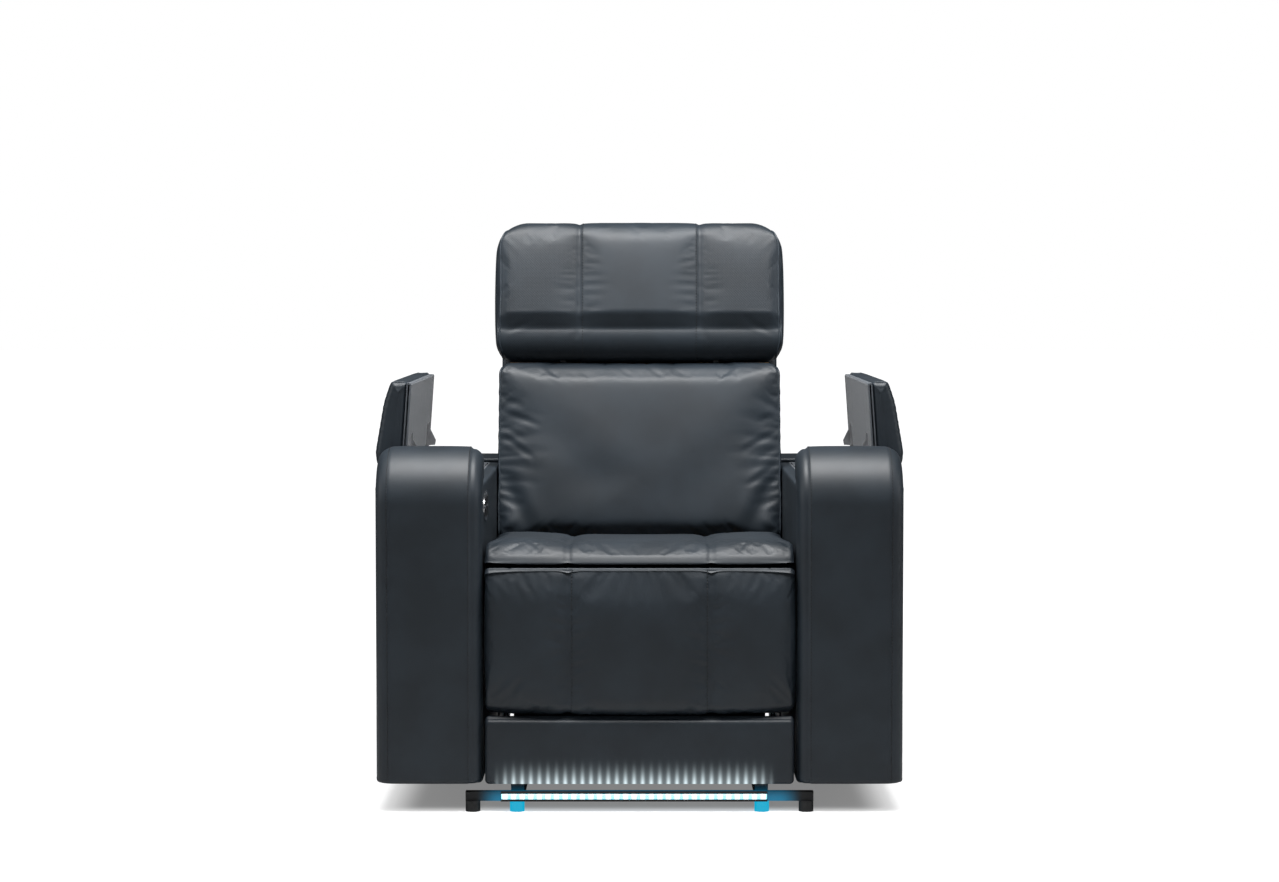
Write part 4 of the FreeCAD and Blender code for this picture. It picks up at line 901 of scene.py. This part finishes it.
def make_seat():
    low, high = (np.array(c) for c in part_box("seat_cushion"))
    half, seam, edge = high[0], 0.132, 11 * MM
    front, rear, base, top = low[1], high[1], low[2], high[2]
    lip, crest = 454.9 * MM, top + 5 * MM
    step, front = front + 86 * MM, front + 5 * MM
    outline = rounded([(front, lip, 0.4 * MM), (step, lip, 2 * MM), (step, base, 2 * MM), (rear, base, 6 * MM),
                       (rear, crest - 24 * MM, 14 * MM), (front + 40 * MM, crest - 1.5 * MM, 65 * MM),
                       (front + 8 * MM, lip + 19 * MM, 45 * MM)])

    def pull(x, points):
        y, z = points[..., 0], points[..., 1]
        upper = np.clip((z - base - 40 * MM) / (20 * MM), 0, 1)
        dip = ridge(np.abs(x) - seam, 4 * MM) * 2.2 * MM + ridge(np.abs(x) - seam, 14 * MM) * 2 * MM
        sag = 9 * MM * np.cos(np.clip(np.abs(x) / half, 0, 1) * math.pi / 2) ** 1.2 * np.clip((y - front) / 0.05, 0, 1)
        corner = 7 * MM * (np.abs(x) / half) ** 10
        return -upper * (dip + sag * np.clip((z - lip) / (12 * MM), 0, 1) + corner)

    spine = [(front + 0.11, (base + top) / 2), (rear - 40 * MM, (base + top) / 2)]
    skin = across_x(outline, spine, half, edge, pull, bulge=1 * MM, name="seat_cushion_cover")
    rest = skin.grid.copy()
    x, y, z = (rest[..., k] for k in range(3))
    held = (z < lip + 4 * MM) | (y < front + 12 * MM)
    inflated(skin, soft_weights(skin, held, (seam,)), LEATHER, pressure=2.0, slack=0.008, cap=5 * MM)
    upper = np.clip((z - lip) / (10 * MM), 0, 1)
    puckers = creases(x, y, [(a, -0.30, a + 0.01, -0.22, 7 * MM, 1.1 * MM) for a in (-0.10, -0.065, -0.02, 0.03, 0.07)])
    waves = ripples(np.abs(x) - seam, y, 38 * MM, 12 * MM, 0.25 * MM, 3)
    skin.grid = skin.grid + skin.normals() * (upper * (puckers + waves))[..., None]
    belongs(skin.build(LEATHER, levels=1), "root", "leather", "seat_cushion", fill=0.7)
    threads = []
    for side in (-1, 1):
        path, normals = line_at(skin, side * (seam - 8 * MM))
        threads.append(run_where(path, normals, normals[:, 2] > -0.1))
    belongs(stitched("seat_stitches", threads, THREAD), "root", "leather")


def make_footrest():
    low, high = (np.array(c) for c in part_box("footrest_pad"))
    half, seam, edge = high[0], 0.132, 11 * MM
    front, rear, foot, top = low[1] + 3 * MM, high[1], low[2] - 1 * MM, 454.4 * MM
    outline = rounded([(front, foot, 20 * MM), (rear, foot, 4 * MM), (rear, top, 3 * MM), (front, top, 0.4 * MM)])

    def pull(x, points):
        y, z = points[..., 0], points[..., 1]
        face = np.clip((rear - 20 * MM - y) / (20 * MM), 0, 1)
        share = np.clip((z - foot) / (top - foot), 0, 1)
        dip = ridge(np.abs(x) - seam, 4 * MM) * 2.2 * MM + ridge(np.abs(x) - seam, 14 * MM) * 2 * MM
        crown = 4 * MM * np.sin(math.pi * share) ** 0.6 * (1 - (x / half) ** 6)
        lower = np.clip(1 - share * 6, 0, 1)
        sweep = (11 * MM * (x / half) ** 2 - 1 * MM) * lower * np.clip((front + 32 * MM - y) / (20 * MM), 0, 1)
        upper = 12 * MM * np.clip(share * 4 - 3, 0, 1) ** 2
        return face * (crown - dip - upper - 5 * MM * (np.abs(x) / half) ** 8) - sweep

    spine = [((front + rear) / 2, foot + 34 * MM), ((front + rear) / 2, top - 34 * MM)]
    skin = across_x(outline, spine, half, edge, pull, bulge=1 * MM, name="footrest_cushion")
    round_corners(skin.grid, half, foot, 16 * MM, -1)
    rest = skin.grid.copy()
    x, y, z = (rest[..., k] for k in range(3))
    held = (y > rear - 22 * MM) | (z > top - 14 * MM)
    inflated(skin, soft_weights(skin, held, (seam,)), LEATHER, pressure=1.5, slack=0.006, cap=4 * MM)
    face = np.clip((rear - 20 * MM - y) / (20 * MM), 0, 1)
    folds = creases(x, z, [(-0.265, 0.19, -0.21, 0.25, 6 * MM, 1.8 * MM), (-0.245, 0.185, -0.225, 0.23, 5 * MM, 1.2 * MM),
                           (0.27, 0.19, 0.235, 0.235, 6 * MM, 1.0 * MM)])
    waves = ripples(np.abs(x) - seam, z, 40 * MM, 12 * MM, 0.35 * MM, 8)
    skin.grid = skin.grid + skin.normals() * (face * (folds + waves))[..., None]
    belongs(skin.build(LEATHER, levels=1), "footrest", "leather", "footrest_pad", fill=0.7)
    threads = []
    for side in (-1, 1):
        path, normals = line_at(skin, side * (seam - 8 * MM))
        threads.append(run_where(path, normals, path[:, 1] < rear - 30 * MM))
    belongs(stitched("footrest_stitches", threads, THREAD), "footrest", "leather")


# Panels

def slab(name, low, high, along, radius, finish, swell=0.0, face=None, step=16 * MM, shape=None):
    """A padded panel: a rounded rectangle carried along one axis, domed on one face.

    face is (axis, sign): the outer face, which swells by swell * (1 - s^4) * (1 - t^4) over its two
    other directions s and t from -1 to 1.
    """
    low, high = np.array(low, float), np.array(high, float)
    others = [k for k in range(3) if k != along]
    size = high - low
    corners = [(low[others[0]], low[others[1]]), (high[others[0]], low[others[1]]),
               (high[others[0]], high[others[1]]), (low[others[0]], high[others[1]])]
    points, _ = rounded([(a, b, radius) for a, b in corners], step / 2)
    stations = np.linspace(low[along] + radius, high[along] - radius, max(int(size[along] / step), 4))
    rings = np.zeros((len(stations), len(points), 3))
    rings[..., along] = stations[:, None]
    rings[..., others[0]], rings[..., others[1]] = points[:, 0], points[:, 1]
    thin = 0 if size[others[0]] < size[others[1]] else 1
    middle = [(low[k] + high[k]) / 2 for k in others]
    ends = [list(middle), list(middle)]
    long = 1 - thin
    ends[0][long] = low[others[long]] + size[others[thin]] / 2
    ends[1][long] = high[others[long]] - size[others[thin]] / 2
    spine = onto_spine(points, ends)
    spines = rings.copy()
    spines[..., others[0]], spines[..., others[1]] = spine[:, 0], spine[:, 1]
    way = np.zeros(3)
    way[along] = 1
    skin = Skin(name, closed_rings(rings, spines, way, radius))
    if face:
        axis, sign = face
        flat = [k for k in range(3) if k != axis]
        scaled = [(skin.grid[..., k] - (low[k] + high[k]) / 2) / (size[k] / 2) for k in flat]
        outer = np.clip((sign * (skin.grid[..., axis] - (low[axis] + high[axis]) / 2)) / (size[axis] / 2), 0, 1)
        skin.grid[..., axis] += sign * swell * outer * (1 - scaled[0] ** 4) * (1 - scaled[1] ** 4)
    if shape is not None:
        skin.grid = shape(skin.grid)
    skin.build(finish, levels=1)
    return skin


# Arms

ARM_LOW, ARM_HIGH = (np.array(c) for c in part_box("right_arm_front_pad"))
ROLL, ARM_EDGE, SIDE_STRIP = 100 * MM, 24 * MM, 58 * MM
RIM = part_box("right_arm_outer_panel")[1][2]


def arm_front(name, side):
    """The arm's front cover: up the front, over the roll and back to the lid, wrapped round both edges.

    The path is a straight run, a quarter circle and a straight run in Y-Z. At each step a ring lies
    across it: half width minus the rounded edge, then down the sides, and flat behind.
    """
    front, end, foot, top = ARM_LOW[1], ARM_HIGH[1], ARM_LOW[2], ARM_HIGH[2]
    low, high = ARM_LOW[0], ARM_HIGH[0]
    half, middle = (high - low) / 2, (high + low) / 2
    round_foot = 10 * MM
    straight = np.linspace(foot + round_foot, top - ROLL, 44)
    turn = np.linspace(0, math.pi / 2, 20)[1:]
    back = np.linspace(front + ROLL, end - 6 * MM, 4)[1:]
    y = np.r_[np.full(len(straight), front), front + ROLL * (1 - np.cos(turn)), back]
    z = np.r_[straight, top - ROLL + ROLL * np.sin(turn), np.full(len(back), top)]
    heading = np.r_[np.zeros(len(straight)), turn, np.full(len(back), math.pi / 2)]
    outward = np.stack([-np.cos(heading), np.sin(heading)], 1)
    points, normals = rounded([(-half, 0, ARM_EDGE), (-half, SIDE_STRIP, 3 * MM), (half, SIDE_STRIP, 3 * MM),
                               (half, 0, ARM_EDGE)], 5 * MM)
    across, deep = points[:, 0], points[:, 1]
    crown = -3.5 * MM * (1 - (across / half) ** 4) * (deep < 2 * MM)
    share = np.clip((z - foot) / (top - foot), 0, 1)
    taper = 1 - 0.012 * (1 - share)
    seam_at = half - 19 * MM
    groove = 3.2 * MM * ridge(np.abs(across) - seam_at, 2.6 * MM) * (deep < 30 * MM)
    depth = (deep + crown + groove)[None] + np.zeros((len(y), 1))
    rings = np.zeros((len(y), len(points), 3))
    rings[..., 0] = side * (middle + across[None] * taper[:, None])
    rings[..., 1] = y[:, None] - outward[:, :1] * depth
    rings[..., 2] = z[:, None] - outward[:, 1:] * depth
    spine_points = onto_spine(points, [(-half + 30 * MM, 29 * MM), (half - 30 * MM, 29 * MM)])
    spines = np.zeros_like(rings)
    spines[..., 0] = side * (middle + spine_points[:, 0])
    spines[..., 1] = y[:, None] - outward[:, :1] * spine_points[:, 1]
    spines[..., 2] = z[:, None] - outward[:, 1:] * spine_points[:, 1]
    ways = np.array([(0, 0, 1), (0, 1, 0)], float)
    skin = Skin(f"{name}_arm_front_cover", closed_rings(rings, spines, ways, 8 * MM))
    threads = []
    grid, normal = skin.grid, skin.normals()
    for sign in (-1, 1):
        for shift in (-4.5 * MM,):
            k = int(np.argmin(np.abs(across - sign * (seam_at + shift)) + 10 * (deep > 20 * MM)))
            threads.append((grid[8:-9, k], normal[8:-9, k]))
    made = skin.build(LEATHER, levels=1)
    belongs(made, "root", "leather", f"{name}_arm_front_pad", fill=0.85)
    belongs(stitched(f"{name}_arm_stitches", threads, THREAD), "root", "leather")


def mirrored(low, high, side):
    """A box of the right side, mirrored where side is -1."""
    low, high = np.array(low, float), np.array(high, float)
    if side < 0:
        low[0], high[0] = -high[0], -low[0]
    return low, high


def make_arm(name, side):
    """One arm's covers: front, both sides, rear and rear cap, and the welt round its storage box."""
    arm_front(name, side)
    outer_low, outer_high = (np.array(c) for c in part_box("right_arm_outer_panel"))
    inner_low, inner_high = (np.array(c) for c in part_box("right_arm_inner_panel"))
    lift = 0.4 * MM
    front_edge = ARM_LOW[1] + 27 * MM
    low, high = mirrored((outer_low[0], front_edge, outer_low[2]), (outer_high[0] + lift, outer_high[1], outer_high[2]), side)
    outer = slab(f"{name}_arm_outer_cover", low, high, 1, 5 * MM, LEATHER, 3 * MM, (0, side))
    belongs(outer.object, "root", "leather", f"{name}_arm_outer_panel", fill=0.9)
    low, high = mirrored((inner_low[0] - lift, front_edge, inner_low[2]), inner_high, side)
    inner = slab(f"{name}_arm_inner_cover", low, high, 1, 5 * MM, LEATHER, 1.0 * MM, (0, -side))
    belongs(inner.object, "root", "leather", f"{name}_arm_inner_panel", fill=0.9)
    low, high = (np.array(c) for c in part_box(f"{name}_arm_rear_wall"))
    rear = slab(f"{name}_arm_rear_cover", low, high, 0, 5 * MM, LEATHER, 1.5 * MM, (1, 1))
    belongs(rear.object, "root", "leather", f"{name}_arm_rear_wall", fill=0.9)
    low, high = (np.array(c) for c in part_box(f"{name}_arm_rear_cap"))
    cap = slab(f"{name}_arm_rear_cap_cover", low, high, 0, 4 * MM, LEATHER, 1.5 * MM, (2, 1), step=8 * MM)
    belongs(cap.object, "root", "leather", f"{name}_arm_rear_cap", fill=0.9)
    box_low, box_high = (np.array(c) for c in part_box(f"{name}_storage_box"))
    loops = []
    for inset in (3 * MM, -4 * MM):
        ring, _ = rounded([(box_low[0] + inset, box_low[1] + inset, 8 * MM), (box_high[0] - inset, box_low[1] + inset, 8 * MM),
                           (box_high[0] - inset, box_high[1] - inset, 8 * MM), (box_low[0] + inset, box_high[1] - inset, 8 * MM)])
        wave = 0.3 * MM * np.sin(np.arange(len(ring)) * 0.9)
        path = np.column_stack([ring, RIM - 1.0 * MM + wave])
        loops.append((path, np.tile([0.0, 0, 1], (len(path), 1))))
    belongs(welted(f"{name}_storage_welt", [(p, n) for p, n in loops], LINING, 1.6 * MM, closed=True), "root", "lining")


# Lids

def make_lid(name, side):
    """One lid: the padded top with its welt seams, and the pleated lining on its board."""
    low, high = lid_span(f"{name}_lid_pad", side)
    if side < 0:
        inner, outer = -high[0], -low[0]
    else:
        inner, outer = low[0], high[0]
    base, top = low[2], high[2]
    shelf = lid_span(f"{name}_lid_board", side)[1][2]
    start, end = low[1], high[1]
    near = base + 38 * MM
    outline, normals = rounded([(inner, shelf, 4 * MM), (outer - 24 * MM, shelf, 1 * MM), (outer - 24 * MM, base, 1 * MM),
                                (outer, base, 16 * MM), (outer, base + 36 * MM, 26 * MM), (outer - 34 * MM, top + 3 * MM, 60 * MM),
                                (inner + 40 * MM, top - 8 * MM, 160 * MM), (inner, near, 8 * MM)], 4 * MM)
    edge = 12 * MM
    stations = np.linspace(start + edge, end - edge, 84)
    across, height = outline[:, 0], outline[:, 1]
    upper = np.clip((height - shelf - 4 * MM) / (14 * MM), 0, 1)
    ends = np.minimum(stations - start, end - stations)
    swell = -2.0 * MM * np.exp(-ends / (26 * MM))[:, None] * upper[None]
    pucker = ripples(ends[:, None], across[None] * 1.0 + height[None] * 0.7, 15 * MM, 12 * MM, 0.8 * MM, 21 + side) * upper[None]
    moved = outline[None] + normals[None] * (swell + pucker)[..., None]
    rings = np.stack([side * moved[..., 0], np.broadcast_to(stations[:, None], moved.shape[:2]), moved[..., 1]], -1)
    middle = onto_spine(outline, [(inner + 22 * MM, (shelf + near) / 2), (outer - 30 * MM, (base + top) / 2 + 3 * MM)])
    spines = np.stack([side * np.broadcast_to(middle[:, 0], moved.shape[:2]), rings[..., 1],
                       np.broadcast_to(middle[:, 1], moved.shape[:2])], -1)
    skin = Skin(f"{name}_lid_cushion", closed_rings(rings, spines, (0, 1, 0), edge, 1.5 * MM))
    flat = Skin(skin.name, skin.grid.copy())
    skin.grid = swung(skin.grid, side)
    body = f"{name}_lid"
    belongs(skin.build(LEATHER, levels=1), body, "leather", f"{name}_lid_pad", fill=0.8)
    normal = flat.normals()
    runs = []
    for k in (8, len(flat.grid) - 9):
        path, up = run_where(flat.grid[k], normal[k], flat.grid[k][:, 2] > shelf + 3 * MM)
        runs.append((swung(path, side), turned(up, "y", side * LID_OPEN, 0)))
    belongs(welted(f"{name}_lid_piping", runs, WELT, 1.6 * MM), body, "leather")
    board_low, board_high = lid_span(f"{name}_lid_board", side)

    def pleats(grid):
        """Soft pleats across the board: the lower face hangs by a rounded wave along Y."""
        lower = grid[..., 2] < (board_low[2] + board_high[2]) / 2
        wave = np.abs(np.sin(math.pi * (grid[..., 1] - board_low[1]) / (30 * MM))) ** 0.6
        grid[..., 2] = np.where(lower, grid[..., 2] - 0.3 * MM - 1.3 * MM * wave, grid[..., 2])
        return swung(grid, side)

    pocket = LID_HINGE[0] - 14 * MM
    cover_low, cover_high = board_low.copy(), board_high.copy()
    cover_low[0], cover_high[0] = (max(cover_low[0], -pocket), cover_high[0]) if side < 0 else (
        cover_low[0], min(cover_high[0], pocket))
    lining = slab(f"{name}_lid_lining", cover_low, cover_high, 1, 2.4 * MM, LINING, step=6.5 * MM, shape=pleats)
    belongs(lining.object, body, "lining")


def make_gussets(name, side):
    """The bent flanges of the two hinge leaves, which face the front when the lid stands open."""
    low, high = lid_span(f"{name}_hinge_leaves", side)
    root, tip = (high[0], low[0]) if side > 0 else (-low[0], -high[0])
    root, tip = root - 21 * MM, tip + 6 * MM
    sheet = lid_span(f"{name}_lid_board", side)[0][2] - 2.4 * MM
    places, faces = [], []
    for y in (low[1] + 3 * MM, high[1] - 3 * MM):
        base = len(places)
        for shift in (-1.2 * MM, 1.2 * MM):
            for x, z in ((tip, sheet), (root, sheet), (root - 2 * MM, sheet - 15 * MM), (root - 12 * MM, sheet - 16 * MM)):
                places.append((side * x, y + shift, z))
        faces += [[base + k for k in face] for face in (
            (0, 1, 2, 3), (7, 6, 5, 4), (0, 4, 5, 1), (1, 5, 6, 2), (2, 6, 7, 3), (3, 7, 4, 0))]
    made = add_mesh(f"{name}_hinge_flanges", swung(np.array(places), side), faces, BRIGHT)
    made.data.polygons.foreach_set("use_smooth", [False] * len(faces))
    belongs(made, f"{name}_lid", "bright_steel")


# Back shell, headrest rear, apron and light

def make_back_panels():
    """The covered rear shell of the back and the covered board behind the headrest."""
    low, high = back_span("back_shell")
    shell = slab("back_rear_cover", low, high, 0, 10 * MM, LEATHER, 4 * MM, (1, 1), shape=leaned)
    belongs(shell.object, "back", "leather", "back_shell", fill=0.9)
    low, high = back_span("headrest_board")
    low[1] = high[1] - 10 * MM
    panel = slab("headrest_rear_cover", low, high, 0, 4.5 * MM, LEATHER, 2 * MM, (1, 1), shape=leaned)
    belongs(panel.object, "headrest", "leather")


def make_apron():
    """The kick panel under the footrest: a thin padded panel with a rolled top edge."""
    low, high = (np.array(c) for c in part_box("kick_panel"))

    def lipped(grid):
        """The cover's rear edge stands 6 mm higher than its rolled front edge, and hides what is behind."""
        rear = np.clip((grid[..., 1] - low[1] - 7 * MM) / (6 * MM), 0, 1)
        grid[..., 2] += 6 * MM * rear * np.clip((grid[..., 2] - high[2] + 12 * MM) / (8 * MM), 0, 1)
        return grid

    apron = slab("apron_cover", low, high, 0, 8 * MM, APRON_LEATHER, 2 * MM, (1, -1), step=7 * MM, shape=lipped)
    belongs(apron.object, "root", "leather", "kick_panel", fill=0.9)


def make_dust_cloth():
    """A black cloth behind the kick panel, from the base rails up, that hides the inside."""
    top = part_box("kick_panel")[1][2] + 8 * MM
    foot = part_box("base_rails")[1][2] - 0.3 * MM
    cloth = slab("dust_cloth", (-0.235, -0.346, foot), (0.235, -0.3425, top), 0, 1.5 * MM, WEBBING, step=20 * MM)
    belongs(cloth.object, "root", "webbing")


def make_strip():
    """The clear lens over the light strip: a half-round bar along the channel, lit from within."""
    y, z = STRIP_LOW[1], (STRIP_LOW[2] + STRIP_HIGH[2]) / 2
    points, _ = rounded([(y - 1.2 * MM, z - 5 * MM, 2.2 * MM), (y + 3 * MM, z - 5 * MM, 0.4 * MM),
                         (y + 3 * MM, z + 5 * MM, 0.4 * MM), (y - 1.2 * MM, z + 5 * MM, 2.2 * MM)], 1.5 * MM)
    stations = np.linspace(STRIP_LOW[0] + 2 * MM, STRIP_HIGH[0] - 2 * MM, 120)
    rings = np.zeros((len(stations), len(points), 3))
    rings[..., 0], rings[..., 1:] = stations[:, None], points[None]
    spines = rings.copy()
    spines[..., 1:] = (y + 1 * MM, z)
    skin = Skin("light_lens", closed_rings(rings, spines, (1, 0, 0), 1 * MM, steps=2))
    belongs(skin.build(LENS), "root", "light_chip")


# Studio

def studio():
    """White floor that keeps the shadow, a white surround, soft lamps and the camera."""
    scene = bpy.context.scene
    scene.view_settings.view_transform = "Standard"
    world = bpy.data.worlds.new("studio")
    scene.world = world
    world.use_nodes = True
    tree = world.node_tree
    tree.nodes.clear()
    path = tree.nodes.new("ShaderNodeLightPath")
    white, soft = tree.nodes.new("ShaderNodeBackground"), tree.nodes.new("ShaderNodeBackground")
    white.inputs["Color"].default_value = (1, 1, 1, 1)
    soft.inputs["Color"].default_value = (0.92, 0.96, 1, 1)
    soft.inputs["Strength"].default_value = 0.1
    mix, out = tree.nodes.new("ShaderNodeMixShader"), tree.nodes.new("ShaderNodeOutputWorld")
    tree.links.new(path.outputs["Is Camera Ray"], mix.inputs[0])
    tree.links.new(soft.outputs[0], mix.inputs[1])
    tree.links.new(white.outputs[0], mix.inputs[2])
    tree.links.new(mix.outputs[0], out.inputs[0])

    size = 40.0
    places = np.array([(-size, -size, 0), (size, -size, 0), (size, size, 0), (-size, size, 0)], float)
    mesh = bpy.data.meshes.new("floor")
    mesh.from_pydata(places.tolist(), [], [(0, 1, 2, 3)])
    floor = bpy.data.objects.new("floor", mesh)
    scene.collection.objects.link(floor)
    made = Finish("floor", Roughness=0.9, Specular_IOR_Level=0.1)
    made.shader.inputs["Base Color"].default_value = (0.42, 0.42, 0.42, 1)
    made.shader.inputs["Emission Color"].default_value = (1, 1, 1, 1)
    x, y, _ = made.parts_of(made.place())
    far = (x * x + y * y).math("SQRT").between(0.55, 1.9)
    # Painted shadow: over the chair's footprint the floor's glow for the camera is cut by up to 72%, a painted shade
    # under the seat.
    under = (1 - x.math("ABSOLUTE").between(0.40, 0.50)) * (1 - y.math("ABSOLUTE").between(0.38, 0.47))
    glow = made.node("ShaderNodeLightPath", {}, (), "Is Camera Ray")
    made.feed("Emission Strength", glow * (0.78 + far * 0.3) * (1 - under * 0.72))
    mesh.materials.append(made.material)

    for name, place, aim, width, depth, power in (
            ("overhead", (0, -0.75, 2.8), (0, -0.1, 0.5), 2.6, 1.3, 150),
            ("front", (0, -4.2, 2.2), (0, 0, 0.5), 3.0, 1.4, 7),
            ("left side", (-3.2, -0.8, 1.6), (0, 0, 0.6), 1.0, 1.8, 16),
            ("right side", (3.2, -0.8, 1.6), (0, 0, 0.6), 1.0, 1.8, 16)):
        lamp = bpy.data.lights.new(name, "AREA")
        lamp.shape, lamp.size, lamp.size_y, lamp.energy = "RECTANGLE", width, depth, power
        holder = bpy.data.objects.new(name, lamp)
        scene.collection.objects.link(holder)
        place, aim = np.array(place, float), np.array(aim, float)
        holder.location = place
        holder.rotation_euler = look(place, aim)

    camera = bpy.data.cameras.new("camera")
    holder = bpy.data.objects.new("camera", camera)
    scene.collection.objects.link(holder)
    camera.sensor_width, camera.lens = 36.0, 80.4
    holder.location = (0.0, -5.65, 0.955)
    holder.rotation_euler = (math.radians(90 - 3.0), 0, 0)
    holder.rotation_mode = "XYZ"
    scene.camera = holder


def look(place, aim):
    """The turn that points a lamp or camera from place at aim."""
    return Vector(aim - place).to_track_quat("-Z", "Y").to_euler()


finish_nodes()
make_headrest()
make_back_cushion()
make_seat()
make_footrest()
for arm_name, arm_side in SIDES:
    make_arm(arm_name, arm_side)
    make_lid(arm_name, arm_side)
    make_gussets(arm_name, arm_side)
make_back_panels()
make_apron()
make_dust_cloth()
make_strip()
studio()
